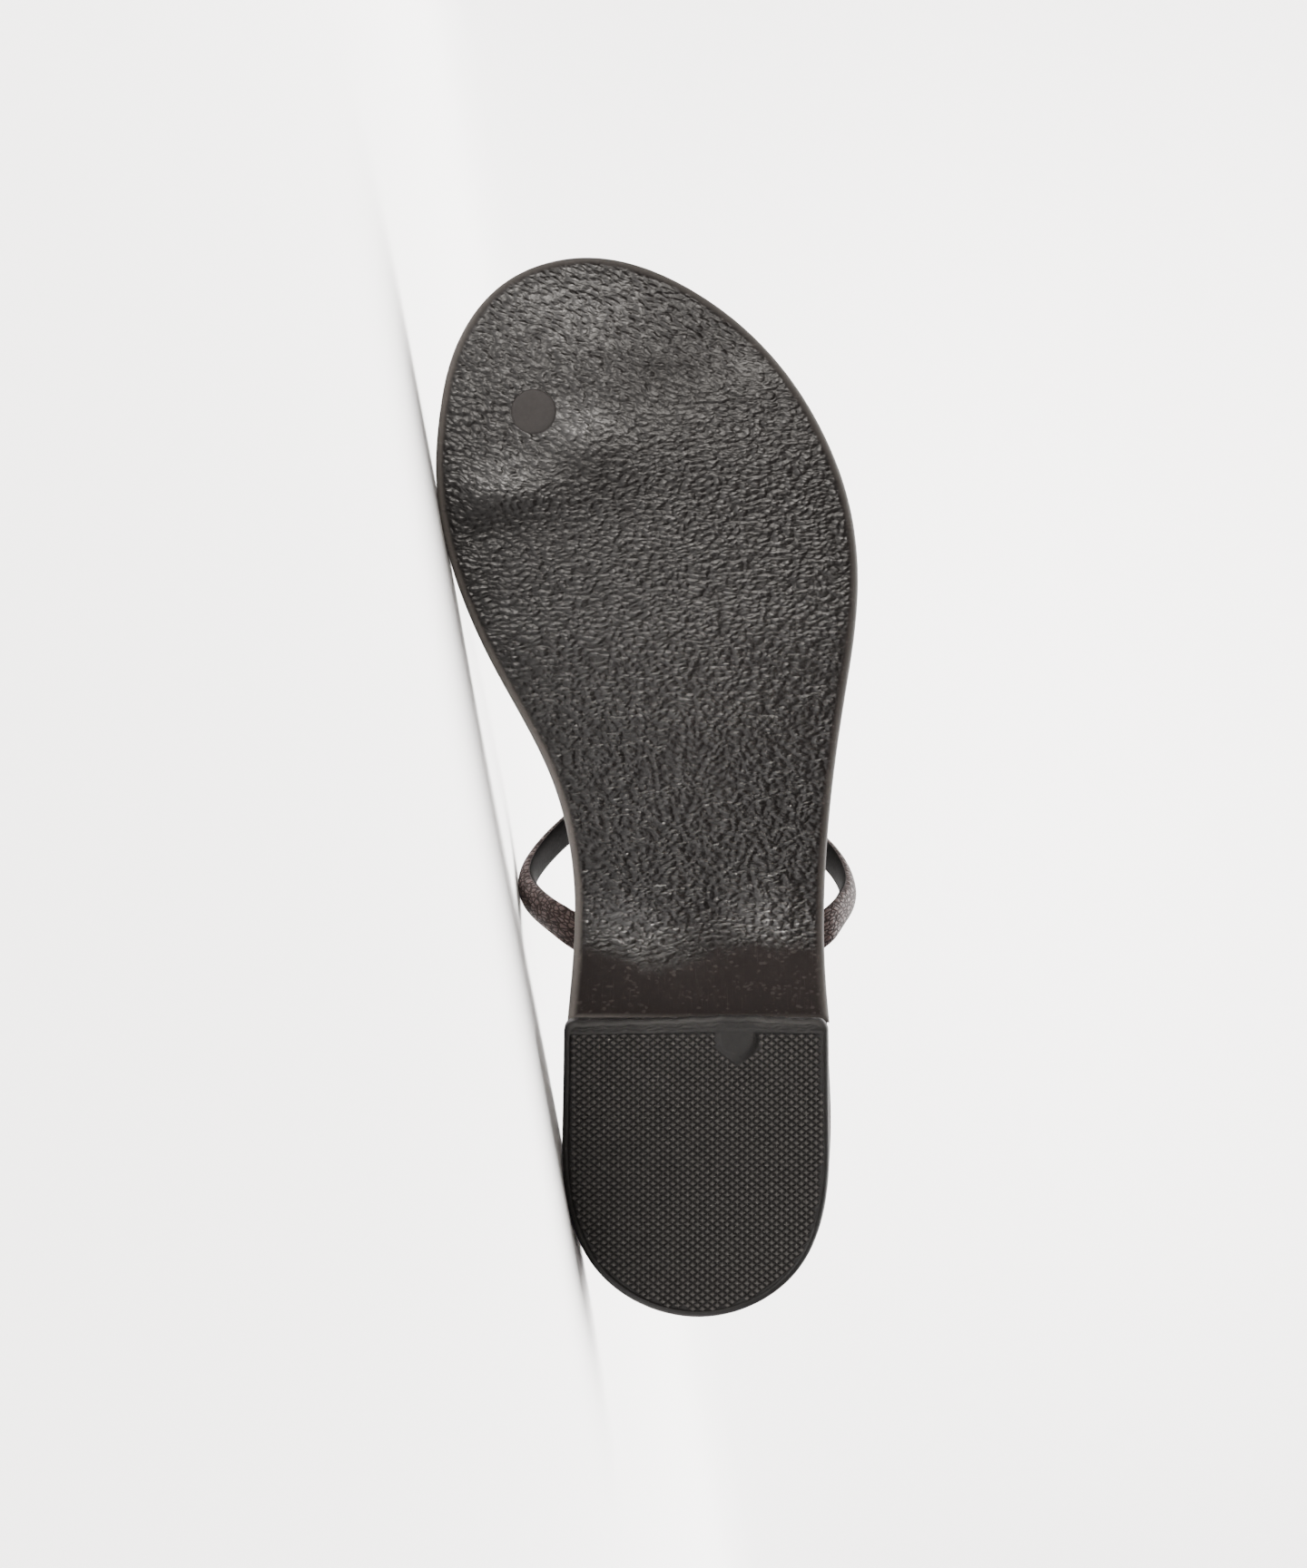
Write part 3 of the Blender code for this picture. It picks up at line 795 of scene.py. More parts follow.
@dataclass(frozen=True)
class Finish:
    """Base of every finish: a Principled material with named parts.

    Args:
        name: Material name.
        space: Coordinates that its texture follows.
        specular: Specular level of the plain surface.
        polish: Specular level where the finish is polished.
        polish_roughness: Roughness there.
    """

    name: str
    space: Space = Space.SHOE
    specular: float = 0.5
    polish: float = 0.5
    polish_roughness: float = 0.25

    def material(self) -> bpy.types.Material:
        """Makes the material, with a second shader mixed in where it is polished.

        Returns:
            The new material.
        """
        material = bpy.data.materials.new(self.name)
        material.use_nodes = True
        tree = material.node_tree
        plain = tree.nodes["Principled BSDF"]
        start = Field(tree, plain.inputs["Roughness"])
        place = start.node("Attribute", "Vector", {"attribute_name": self.space.value})
        layers = self.layers(place)
        bump = start.node("Bump", "Normal", Strength=1.0, Distance=layers.depth * MM, Height=layers.height)
        tree.links.new(layers.roughness.socket, plain.inputs["Roughness"])
        shaders = [(plain, self.specular)]
        if layers.gloss is not None:
            polished = tree.nodes.new("ShaderNodeBsdfPrincipled")
            polished.inputs["Roughness"].default_value = self.polish_roughness
            shaders.append((polished, self.polish))
            pair = {"n1": Field(tree, plain.outputs[0]), "n2": Field(tree, polished.outputs[0])}
            mix = start.node("MixShader", n0=layers.gloss, **pair)
            tree.links.new(mix.socket, tree.nodes["Material Output"].inputs["Surface"])
        for shader, specular in shaders:
            shader.inputs["Specular IOR Level"].default_value = specular
            tree.links.new(layers.colour.socket, shader.inputs["Base Color"])
            tree.links.new(bump.socket, shader.inputs["Normal"])
        return material

    def value(self, place: Field, name: str) -> Field:
        """A number stored on the mesh."""
        return place.node("Attribute", "Fac", {"attribute_name": name})

    def layers(self, place: Field) -> Layers:
        """The parts of the finish over its coordinates."""
        raise NotImplementedError


@dataclass(frozen=True)
class WrinkledRubber(Finish):
    """Dark outsole with an embossed wrinkle grain, smooth on its edge and on the flap.

    Args:
        valley: Colour between the ridges.
        ridge: Colour of their crests, lighter than the valleys as a painted highlight.
        smooth: Colour of the flap.
        scuffed: Colour of its scuffs.
        rim: Colour of the rounded edge.
        rim_painted_light: Lighter colour of the edge on its medial side, fading out at the toe, painted
            light where the lamps leave that edge dark.
        depth: Depth of the bump, in millimetres.
        pitch: Distance between ridges, in millimetres.
        toe_pitch: The same where they fan out at the toe.
        toe_turn: Angle of the ridges there, in degrees.
        lump_stretch: A lump's size along the shoe, as a share of its size across.
        ridge_stretch: The same for the ridges between lumps.
        bend_scale: Scale of the noise that bends the ridges.
        bend: How far it bends them, in millimetres.
        arch_reach: Where along the shoe the relief rises towards the arch.
        arch_relief: How much it rises.
        crest_painted_highlight: How far the crests take the ridge's lighter colour, a painted highlight.
        crest_gloss: Gloss of the crests, on top of the base.
        base_gloss: Gloss between them.
    """

    valley: Tone = (0.0036, 0.0029, 0.0027)
    ridge: Tone = (0.0250, 0.0214, 0.0190)
    smooth: Tone = (0.0078, 0.0060, 0.0058)
    scuffed: Tone = (0.0300, 0.0255, 0.0240)
    rim: Tone = (0.0300, 0.0272, 0.0254)
    # painted light for the edge's medial side
    rim_painted_light: Tone = (0.0750, 0.0690, 0.0645)
    depth: float = 0.44
    pitch: float = 0.92
    toe_pitch: float = 1.02
    toe_turn: float = -24.0
    lump_stretch: float = 0.57
    ridge_stretch: float = 0.59
    bend_scale: float = 0.16
    bend: float = 1.8
    arch_reach: tuple[float, float] = (160.0, 112.0)
    arch_relief: float = 0.25
    crest_painted_highlight: float = 0.14
    crest_gloss: float = 0.22
    base_gloss: float = 0.22

    def wrinkles(self, place: Field, turn: float, pitch: float) -> Field:
        """Short embossed ridges.

        Args:
            place: Coordinates in millimetres.
            turn: Angle of the ridges from straight across, in degrees.
            pitch: Distance between ridges, in millimetres.

        Returns:
            Height of the ridges, round about 0.5.
        """
        bent = place.node("TexNoise", "Color", Vector=place, Scale=self.bend_scale, Detail=1.0)
        bent = bent.node("VectorMath", settings={"operation": "SCALE"}, n0=bent, Scale=self.bend)
        bent = place.node("VectorMath", settings={"operation": "ADD"}, n0=place, n1=bent)
        bent = bent.turned(turn)
        lumps = bent.scaled(self.lump_stretch / pitch, 1.0 / pitch, 0.0).cells(1.0, "SMOOTH_F1", 0.30)
        ridges = bent.scaled(self.ridge_stretch / pitch, 1.0 / pitch, 0.0).noise(1.0, 0.8, 0.5)
        return ridges * 0.55 + (1.0 - lumps * 1.25) * 0.45

    def scuffs(self, flat: Field, wrinkle: Field) -> Field:
        """Scratches and rubbed specks of the smooth parts.

        Args:
            flat: Coordinates in millimetres, without height.
            wrinkle: Height of the ridges, whose crests the specks follow.

        Returns:
            How strongly each place is marked.
        """
        scratch = flat.scaled(2.4, 0.10, 0.0).noise(1.0, 3.0, 0.7).step(0.58, 0.70)
        speck = wrinkle.step(0.50, 0.62) * flat.noise(0.30, 2.0).step(0.44, 0.58)
        return scratch * 0.5 + speck * 0.8

    def layers(self, place: Field) -> Layers:
        """Grain, smooth parts and rim.

        Args:
            place: Shoe coordinates in millimetres.

        Returns:
            The parts of the finish.
        """
        edge = self.value(place, "edge")
        grain = self.value(place, "grain")
        polish = self.value(place, "polish")
        across = place.node("SeparateXYZ", "X", Vector=place)
        along = place.node("SeparateXYZ", "Y", Vector=place)
        flat = place.scaled(1.0, 1.0, 0.0)
        loose = flat.noise(0.35, 2.0)
        pebble = flat.scaled(1.7, 2.6, 0.0).noise(1.0, 1.0, 0.5)
        fine = flat.noise(3.0, 4.0, 0.6)
        straight = self.wrinkles(flat, 0.0, self.pitch)
        fanned = self.wrinkles(flat, self.toe_turn, self.toe_pitch)
        wrinkle = self.value(place, "fan").step(0.2, 0.8).mixed(straight, fanned)
        crest = wrinkle.step(0.32, 0.68)
        embossed = (grain + loose * 0.9 + pebble * 0.5 - 0.7).step(0.22, 0.78)
        mask = (edge + loose * 1.2).step(1.9, 3.0) * embossed
        marks = self.scuffs(flat, straight) * grain.step(-0.6, 0.3)
        relief = along.step(*self.arch_reach) * self.arch_relief + 1.0
        raised = (wrinkle - 0.5) * relief + pebble * 0.10 + 0.5
        height = mask.mixed(marks * 0.12 + fine * 0.03 + 0.45, raised)
        # Painted highlight: crests are coloured lighter than the valleys, scaled by the polish weight,
        # which its sheen and dull spots raise and lower.
        tone = (crest * polish * self.crest_painted_highlight).blended(self.valley, self.ridge)
        plain = (fine * 0.25 + marks * 0.9 - 0.08).blended(self.smooth, self.scuffed)
        # Painted light: the edge's medial side, turned away from the lamps, is coloured lighter as if lit.
        rim = (across.step(5.0, 30.0) * along.step(240.0, 205.0)).blended(self.rim, self.rim_painted_light)
        band = edge.step(0.6, 2.6).blended(rim, plain)
        colour = mask.blended(band, tone)
        roughness = mask.mixed(fine * 0.16 + 0.56, 0.5)
        gloss = mask * polish * (crest * self.crest_gloss + self.base_gloss)
        return Layers(colour, roughness, height, self.depth, gloss)


@dataclass(frozen=True)
class TreadRubber(Finish):
    """Matte black heel rubber with a dusty bloom."""

    dark: Tone = (0.0036, 0.0033, 0.0032)
    dusty: Tone = (0.0315, 0.0297, 0.0281)

    def layers(self, place: Field) -> Layers:
        """Black rubber, lighter where dust and wear lie, and on the front lip where it carries a painted
        highlight.

        Args:
            place: Shoe coordinates in millimetres.

        Returns:
            The parts of the finish.
        """
        dust = place.noise(0.22, 4.0, 0.6)
        fine = place.noise(4.0, 3.0, 0.6)
        worn = self.value(place, "worn")
        colour = (dust * 0.3 + worn * 0.85 - 0.12).step(0.0, 1.0).blended(self.dark, self.dusty)
        roughness = fine * 0.16 + 0.52
        return Layers(colour, roughness, fine, 0.05)


@dataclass(frozen=True)
class ScaleLeather(Finish):
    """Strap leather embossed with small reptile-like scales."""

    groove: Tone = (0.010, 0.0064, 0.0060)
    scale: Tone = (0.046, 0.0325, 0.0310)
    pale: Tone = (0.078, 0.0610, 0.0585)

    def layers(self, place: Field) -> Layers:
        """Scales with dark grooves and pale tops.

        Args:
            place: Strap coordinates in millimetres.

        Returns:
            The parts of the finish.
        """
        warp = place.noise(0.6, 2.0)
        stretched = place.scaled(0.62, 0.98, 0.0)
        border = stretched.cells(1.0, "DISTANCE_TO_EDGE")
        rounded = border.step(0.0, 0.24)
        blotch = place.noise(0.5, 3.0, 0.6)
        fine = place.noise(5.0, 3.0, 0.6)
        base = (rounded * (blotch * 0.8 + 0.5)).step(0.0, 1.0).blended(self.groove, self.scale)
        top = (rounded * warp).step(0.42, 0.72)
        colour = top.blended(base, fine.blended(self.scale, self.pale))
        roughness = 0.72 - rounded * 0.14
        return Layers(colour, roughness, rounded + fine * 0.12, 0.20)


@dataclass(frozen=True)
class SmoothLeather(Finish):
    """Plain leather or lining with a fine pore grain."""

    dark: Tone = (0.0115, 0.0078, 0.0069)
    light: Tone = (0.0190, 0.0130, 0.0113)
    roughness: float = 0.5
    pore: float = 1.6

    def layers(self, place: Field) -> Layers:
        """Soft blotches with fine pores.

        Args:
            place: Shoe coordinates in millimetres.

        Returns:
            The parts of the finish.
        """
        blotch = place.noise(0.16, 4.0, 0.6)
        pores = place.cells(self.pore, "SMOOTH_F1")
        fine = place.noise(6.0, 3.0, 0.6)
        colour = (blotch * 0.8 + fine * 0.3).blended(self.dark, self.light)
        rough = pores * 0.10 + fine * 0.08 + (self.roughness - 0.08)
        return Layers(colour, rough, pores * 0.6 + fine * 0.3, 0.07)


@dataclass(frozen=True)
class Paper(Finish):
    """Pale, even ground for the stage."""

    tone: Tone = (0.86, 0.855, 0.85)

    def layers(self, place: Field) -> Layers:
        """Nearly even paper.

        Args:
            place: Coordinates, of which only the tree is used.

        Returns:
            The parts of the finish.
        """
        fine = place.node("TexCoord", "Object").noise(40.0, 2.0)
        pale = tuple(min(part * 1.02, 1.0) for part in self.tone)
        return Layers(fine.blended(self.tone, pale), fine * 0.05 + 0.85, fine, 0.01)


@dataclass
class Outsole:
    """Outsole sheet with its swells pressed in by wear, rounded edge, breast flap and plug hole."""

    count: int = 260
    columns: int = 110
    rim: tuple[RimRow, ...] = (
        RimRow(2.2, 0.0),
        RimRow(1.55, 0.08),
        RimRow(1.0, 0.26),
        RimRow(0.5, 0.62),
        RimRow(0.15, 1.15),
        RimRow(0.0, 1.8),
        RimRow(0.0, 3.2),
        RimRow(0.1, 3.4),
        RimRow(0.3, 3.5),
    )
    hole_gap: float = 0.04
    cutter_length: float = 14.0
    border_dip: tuple[float, float, float] = (5.2, 9.0, 12.0)
    grain_edge: tuple[float, float] = (80.0, 90.0)
    gloss_edge: tuple[float, float] = (84.0, 92.0)
    flap_gloss: float = 0.3
    gloss: float = 0.60

    def along(self, outline: Outline, inset: float) -> Array:
        """Stations of one rim, closer together towards the toe.

        Args:
            outline: The rim's outline.
            inset: How far it lies inside the sole's.

        Returns:
            Places along the shoe.
        """
        share = np.linspace(0, 1, self.count + 1)
        start = SHAPE.flap_end + inset
        stop = outline.ends()[1]
        return start + (stop - start) * np.sin(math.pi / 2 * share)

    def swell(self, across: Array, along: Array) -> Array:
        """Soft ridges and troughs of the ground face.

        Args:
            across: Places across the shoe.
            along: The same places along the shoe.

        Returns:
            How far each place stands out, in millimetres.
        """
        total = np.zeros_like(along)
        for row in OUTSOLE_SWELLS:
            turn = math.radians(row.turn)
            u = (across - row.across) * math.cos(turn) + (along - row.along) * math.sin(turn)
            v = (along - row.along) * math.cos(turn) - (across - row.across) * math.sin(turn)
            total += row.rise * np.exp(-((u / row.length) ** 2) - (v / row.breadth) ** 2)
        return total

    def build(self) -> bpy.types.Object:
        """Makes the outsole.

        Returns:
            The finished object, standing for the outsole node.
        """
        maker = MeshMaker("outsole_skin")
        rims = []
        for row in self.rim:
            inner = SOLE.inset(row.inset)
            along = self.along(inner, row.inset)
            rims.append(edge_loop(inner, along, SHAPE.outsole_bottom(along) + row.rise))
        low = cap_grid(rims[0], self.columns)
        across, along = low[..., 0], low[..., 1]
        edge = SOLE.distance(across, along)
        low[..., 2] -= self.swell(across, along) * smoothstep(2.2, 9.0, edge)
        maker.plate(rims, low, cap_grid(rims[-1], 8))
        piece = maker.make(60.0)
        self.drill(piece)
        places = shoe_array(piece.data)
        add_values(piece.data, "edge", SOLE.distance(places[:, 0], places[:, 1]))
        add_values(piece.data, "grain", self.grain(places))
        add_values(piece.data, "fan", self.fan(places))
        add_values(piece.data, "polish", self.polish(places))
        finish = WrinkledRubber("outsole_rubber", specular=0.05, polish=1.0, polish_roughness=0.30)
        piece.data.materials.append(finish.material())
        return piece

    def past_border(self, places: Array) -> Array:
        """Distance along the shoe, as if the grain's dipping border were straight."""
        dip, middle, reach = self.border_dip
        return places[:, 1] + dip * np.exp(-(((places[:, 0] - middle) / reach) ** 2))

    def grain(self, places: Array) -> Array:
        """1 where the grain is embossed and 0 on the smooth flap and the inner side."""
        on_ground = smoothstep(1.9, 1.2, places[:, 2] - SHAPE.outsole_bottom(places[:, 1]))
        return smoothstep(*self.grain_edge, self.past_border(places)) * on_ground

    def fan(self, places: Array) -> Array:
        """How far the grain turns to the diagonal, at the toe's inner side."""
        across, along, _ = places.T
        return smoothstep(176.0, 226.0, along + 0.55 * (across - 20.0))

    def polish(self, places: Array) -> Array:
        """Weight of the gloss and of the crests' lighter colour: a base, lower towards the flap, with
        spots of painted highlight and painted shade.

        Args:
            places: Shoe coordinates in rows.

        Returns:
            One weight for each place.
        """
        past_flap = smoothstep(*self.gloss_edge, self.past_border(places))
        gloss = self.gloss * (self.flap_gloss + (1 - self.flap_gloss) * past_flap)
        # spots of painted highlight and painted shade, raising or lowering gloss and the crests' colour
        for spot in SHEEN_AND_SHADE_SPOTS:
            reach = ((places[:, 0] - spot.across) / spot.breadth) ** 2
            reach += ((places[:, 1] - spot.along) / spot.length) ** 2
            gloss += spot.gain * np.exp(-reach)
        return np.clip(gloss, 0.05, 2.0)

    def drill(self, piece: bpy.types.Object) -> None:
        """Cuts the plug's hole through the sheet."""
        radius = SHAPE.plug_radius + self.hole_gap
        cut_away(piece, ThongPlug().cylinder("plug_hole", radius, self.cutter_length))


def apply_modifiers(piece: bpy.types.Object) -> None:
    """Turns a piece's modifiers into plain mesh.

    Args:
        piece: Piece to work on.
    """
    bpy.context.view_layer.update()
    graph = bpy.context.evaluated_depsgraph_get()
    done = bpy.data.meshes.new_from_object(piece.evaluated_get(graph), depsgraph=graph)
    piece.modifiers.clear()
    piece.data = done


def cut_away(piece: bpy.types.Object, cutter: bpy.types.Object) -> None:
    """Cuts one object out of another.

    Args:
        piece: Piece to cut.
        cutter: Closed object to cut out of it, which is then removed.
    """
    cut = piece.modifiers.new("cut", "BOOLEAN")
    cut.operation = "DIFFERENCE"
    cut.object = cutter
    cut.solver = "EXACT"
    apply_modifiers(piece)
    bpy.data.objects.remove(cutter, do_unlink=True)


@dataclass
class ThongPlug:
    """Round plug under the toe post, slightly dished with a soft rim."""

    sides: int = 96
    dish: float = 0.28
    profile: tuple[RimRow, ...] = (
        RimRow(5.2, 0.03),
        RimRow(4.2, 0.02),
        RimRow(3.0, 0.0),
        RimRow(1.6, 0.02),
        RimRow(0.6, 0.05),
        RimRow(0.25, 0.10),
        RimRow(0.0, 0.24),
        RimRow(0.0, 3.2),
    )

    def pose(self) -> Matrix:
        """Where the plug's ground face lies.

        Returns:
            Its transform in the shoe, in metres.
        """
        across, along = SHAPE.thong
        rise = SHAPE.outsole_bottom(np.array([along - 1, along + 1, along]))
        tilt = math.atan2(float(rise[1] - rise[0]), 2)
        place = Vector((across, along, float(rise[2]) + self.dish)) * MM
        return Matrix.Translation(place) @ Matrix.Rotation(tilt, 4, "X")

    def cylinder(self, name: str, radius: float, depth: float) -> bpy.types.Object:
        """A plain cylinder round the plug's axis, laid down with the shoe.

        Args:
            name: Name of the object.
            radius: Its radius, in millimetres.
            depth: Its length, in millimetres.

        Returns:
            The new object.
        """
        mesh = bpy.data.meshes.new(name)
        work = bmesh.new()
        sizes = {"radius1": radius * MM, "radius2": radius * MM, "depth": depth * MM}
        bmesh.ops.create_cone(work, cap_ends=True, segments=self.sides, **sizes)
        work.transform(SHOE.matrix() @ self.pose())
        work.to_mesh(mesh)
        work.free()
        piece = bpy.data.objects.new(name, mesh)
        bpy.context.scene.collection.objects.link(piece)
        return piece

    def build(self) -> bpy.types.Object:
        """Makes the turned plug.

        Returns:
            The finished object, standing for the plug node.
        """
        maker = MeshMaker("thong_plug_disc")
        angles = np.linspace(0, 2 * math.pi, self.sides, endpoint=False)
        turned = []
        for row in self.profile:
            radius = SHAPE.plug_radius - row.inset
            rise = np.full(self.sides, row.rise)
            turned.append(np.column_stack([np.cos(angles) * radius, np.sin(angles) * radius, rise]))
        rings = np.stack(turned)
        pose = np.array(self.pose())
        rings = rings @ pose[:3, :3].T + pose[:3, 3] / MM
        maker.grid(rings, wrap=True)
        maker.fan(rings[-1])
        piece = maker.make(50.0)
        tones = {"dark": (0.016, 0.0142, 0.0138), "light": (0.022, 0.0196, 0.0190)}
        finish = SmoothLeather("plug_plastic", specular=0.2, roughness=0.66, **tones)
        piece.data.materials.append(finish.material())
        return piece


def dished_rims(rows: list[RimRow], count: int, base: Callable[[Array], Array]) -> list[Array]:
    """Rims of a plate with the sole's outline.

    Args:
        rows: Inset and rise of each rim.
        count: Steps along each rim.
        base: Height along the shoe that the rises are counted from.

    Returns:
        One edge loop for each row.
    """
    rims = []
    for row in rows:
        inner = SOLE.inset(row.inset)
        along = stations(*inner.ends(), count)
        rims.append(edge_loop(inner, along, base(along) + row.rise))
    return rims


@dataclass
class Footbed:
    """Leather-wrapped footbed board, dished in the middle."""

    count: int = 150
    columns: int = 12
    rim: tuple[RimRow, ...] = (
        RimRow(0.4, 0.0),
        RimRow(0.12, 0.14),
        RimRow(0.0, 0.4),
        RimRow(0.0, 3.7),
        RimRow(0.12, 4.3),
        RimRow(0.45, 4.95),
        RimRow(0.9, 5.3),
        RimRow(1.4, 5.5),
    )

    def build(self) -> bpy.types.Object:
        """Makes the footbed and cuts the notches of the straps.

        Returns:
            The finished object, standing for the footbed node.
        """
        dish = [RimRow(inset, SHAPE.footbed - SHAPE.dish_drop(inset)) for inset in SHAPE.dish_insets[1:]]
        maker = MeshMaker("footbed_board")
        rims = dished_rims([*self.rim, *dish], self.count, SHAPE.footbed_seat)
        maker.plate(rims, cap_grid(rims[0], self.columns), cap_grid(rims[-1], self.columns))
        piece = maker.make(60.0)
        Straps().notch(piece)
        piece.data.materials.append(SmoothLeather("footbed_leather", specular=0.25).material())
        return piece


@dataclass
class SockLining:
    """Thin sock lining that covers the footbed."""

    count: int = 150
    columns: int = 12
    edge_round: float = 0.35

    def build(self) -> bpy.types.Object:
        """Makes the sock lining with the hole for the toe post.

        Returns:
            The finished object, standing for the insole node.
        """
        insets = SHAPE.dish_insets
        rows = [RimRow(inset, GAP - SHAPE.dish_drop(inset)) for inset in insets[::-1]]
        rows.append(RimRow(insets[0], GAP + SHAPE.sock - self.edge_round))
        rows.append(RimRow(insets[0] + 0.1, GAP + SHAPE.sock - 0.1))
        rows.append(RimRow(insets[0] + self.edge_round, GAP + SHAPE.sock))
        rows += [RimRow(inset, GAP + SHAPE.sock - SHAPE.dish_drop(inset)) for inset in insets[1:]]
        maker = MeshMaker("sock_lining")
        rims = dished_rims(rows, self.count, SHAPE.footbed_top)
        maker.plate(rims, cap_grid(rims[0], self.columns), cap_grid(rims[-1], self.columns))
        piece = maker.make(60.0)
        Straps().notch(piece)
        tones = {"dark": (0.0150, 0.0090, 0.0074), "light": (0.0245, 0.0152, 0.0124)}
        finish = SmoothLeather("sock_leather", specular=0.25, roughness=0.54, **tones)
        piece.data.materials.append(finish.material())
        return piece


@dataclass
class HeelBlock:
    """Wrapped heel block from the lift to the footbed, its breast behind the flap."""

    count: int = 70
    front_count: int = 14
    columns: int = 10

    def build(self) -> bpy.types.Object:
        """Makes the heel block.

        Returns:
            The finished object, standing for the heel_block node.
        """
        step = SHAPE.flap_end - GAP
        foot, seat = LIFT.inset(SHAPE.block_inset), SOLE.inset(SHAPE.block_inset)
        share = stations(0, 1, 2 * self.count)[: self.count + 1] * 2
        front = np.linspace(step, SHAPE.block_front, self.front_count + 1)
        foot_along = foot.ends()[0] + (step - GAP - foot.ends()[0]) * share
        seat_along = seat.ends()[0] + (step - GAP - seat.ends()[0]) * share
        low_rear = edge_loop(foot, foot_along, np.full(len(foot_along), SHAPE.lift + GAP))
        low_front = edge_loop(seat, front, SHAPE.outsole_bottom(front) + SHAPE.outsole + GAP)
        low = np.concatenate([low_rear, low_front])
        high_along = np.concatenate([seat_along, front])
        high = edge_loop(seat, high_along, SHAPE.footbed_seat(high_along) - GAP)
        walls = [low + (high - low) * part for part in np.linspace(0, 1, 7)]
        maker = MeshMaker("heel_block_wrap")
        maker.plate(walls, cap_grid(low, self.columns), cap_grid(high, self.columns))
        piece = maker.make(40.0)
        tones = {"dark": (0.0100, 0.0070, 0.0062), "light": (0.0165, 0.0116, 0.0103)}
        finish = SmoothLeather("heel_leather", specular=0.25, roughness=0.48, **tones)
        piece.data.materials.append(finish.material())
        return piece


class RippleRow(NamedTuple):
    """One mould mark of the lift: its place along the shoe, its width and its rise."""

    along: float
    width: float
    rise: float


@dataclass
class HeelLift:
    """Rubber lift: smooth rim, front lip, ripple band and a sunk field of small pyramids."""

    count: int = 190
    columns: int = 190
    rim: tuple[RimRow, ...] = (
        RimRow(1.3, 0.0),
        RimRow(0.85, 0.08),
        RimRow(0.4, 0.35),
        RimRow(0.12, 0.72),
        RimRow(0.0, 1.2),
        RimRow(0.0, 4.7),
        RimRow(0.3, 5.0),
    )
    rim_width: float = 1.6
    sunk: float = 0.55
    band_rear: float = 65.6
    lip_rear: float = 67.2
    pitch_across: float = 2.28
    pitch_along: float = 1.70
    stud_height: float = 0.5
    patch: tuple[float, float] = (-9.2, 65.2)
    patch_reach: tuple[float, float] = (4.6, 5.4)
    groove: float = 0.26
    ripples: tuple[RippleRow, ...] = (
        RippleRow(66.0, 0.22, 0.24),
        RippleRow(66.75, 0.18, 0.20),
        RippleRow(67.35, 0.16, 0.12),
    )

    def loop(self, row: RimRow) -> Array:
        """One rim of the lift, with its rounded front corners.

        Args:
            row: Inset and rise of the rim.

        Returns:
            Its lateral and medial points.
        """
        inner = LIFT.inset(row.inset)
        front = SHAPE.lift_front - row.inset
        along = stations(inner.ends()[0], front, self.count)
        radius = SHAPE.lift_corner
        into_corner = np.clip(along - front + radius, 0, radius)
        cut = radius - np.sqrt(radius**2 - into_corner**2)
        rim = edge_loop(inner, along, np.full(len(along), row.rise))
        rim[:, 0, 0] += cut
        rim[:, 1, 0] -= cut
        return rim

    def in_patch(self, across: Array, along: Array) -> Array:
        """Where the bare patch lies.

        Args:
            across: Places across the shoe.
            along: The same places along the shoe.

        Returns:
            1 in the patch, falling to 0 outside it.
        """
        beside = (across - self.patch[0]) / self.patch_reach[0]
        ahead = (along - self.patch[1]) / self.patch_reach[1]
        return smoothstep(1.25, 0.80, np.hypot(beside, ahead))

    def field(self, across: Array, along: Array) -> Array:
        """Where the sunk field lies.

        Args:
            across: Places across the shoe.
            along: The same places along the shoe.

        Returns:
            1 in the field and 0 on the rim, the front band and the bare patch.
        """
        inside = smoothstep(self.rim_width - 0.25, self.rim_width + 0.25, LIFT.distance(across, along))
        behind = smoothstep(self.band_rear, self.band_rear - 0.5, along)
        return inside * behind * (1 - self.in_patch(across, along))

    def ripple(self, across: Array, along: Array) -> Array:
        """Wavy mould marks between the field and the front lip.

        Args:
            across: Places across the shoe.
            along: The same places along the shoe.

        Returns:
            How far the marks stand up, in millimetres.
        """
        wander = 0.35 * np.sin(across * 0.21 + 0.6)
        wander += 0.22 * np.sin(across * 0.83)
        wander += 0.12 * np.sin(across * 2.3 + 1.0)
        marks = np.zeros_like(along)
        for row in self.ripples:
            gap = (along - row.along - wander) / row.width
            marks += row.rise * np.exp(-(gap**2)) * (0.65 + 0.35 * np.sin(across * 1.7 + row.along * 5))
        band = smoothstep(self.band_rear - 0.8, self.band_rear, along)
        sides = smoothstep(31.0, 28.0, np.abs(across))
        return marks * band * sides * (1 - self.in_patch(across, along))

    def uneven(self, points: Array) -> Array:
        """Bows the front edge as the cut rubber is.

        Args:
            points: Points in any array of coordinates.

        Returns:
            The moved points.
        """
        moved = points.copy()
        across, along, height = np.moveaxis(points, -1, 0)
        bow = 0.9 * np.exp(-(((across + 8.0) / 13.0) ** 2)) - 0.5 * smoothstep(12.0, 31.0, across)
        bow += 0.10 * np.sin(across * 0.9 + 0.4) + 0.06 * np.sin(across * 2.1)
        at_front = smoothstep(SHAPE.lift_front - 6.0, SHAPE.lift_front - 1.0, along)
        moved[..., 1] += bow * at_front * smoothstep(4.9, 3.0, height)
        return moved

    def worn(self, places: Array) -> Array:
        """How far dust and wear lighten the lift, the rim little, and how far the front lip is lightened
        most as a painted highlight.

        Args:
            places: Shoe coordinates in rows.

        Returns:
            One share for each place.
        """
        across, along, height = places.T
        # Painted highlight: the front lip is coloured lighter than its dust and wear alone would make it.
        lip = smoothstep(66.4, 67.6, along) * smoothstep(1.0, 0.2, height)
        ground = smoothstep(0.30, 0.0, height)
        return 0.14 * ground - 0.16 * self.in_patch(across, along) + 0.30 * lip

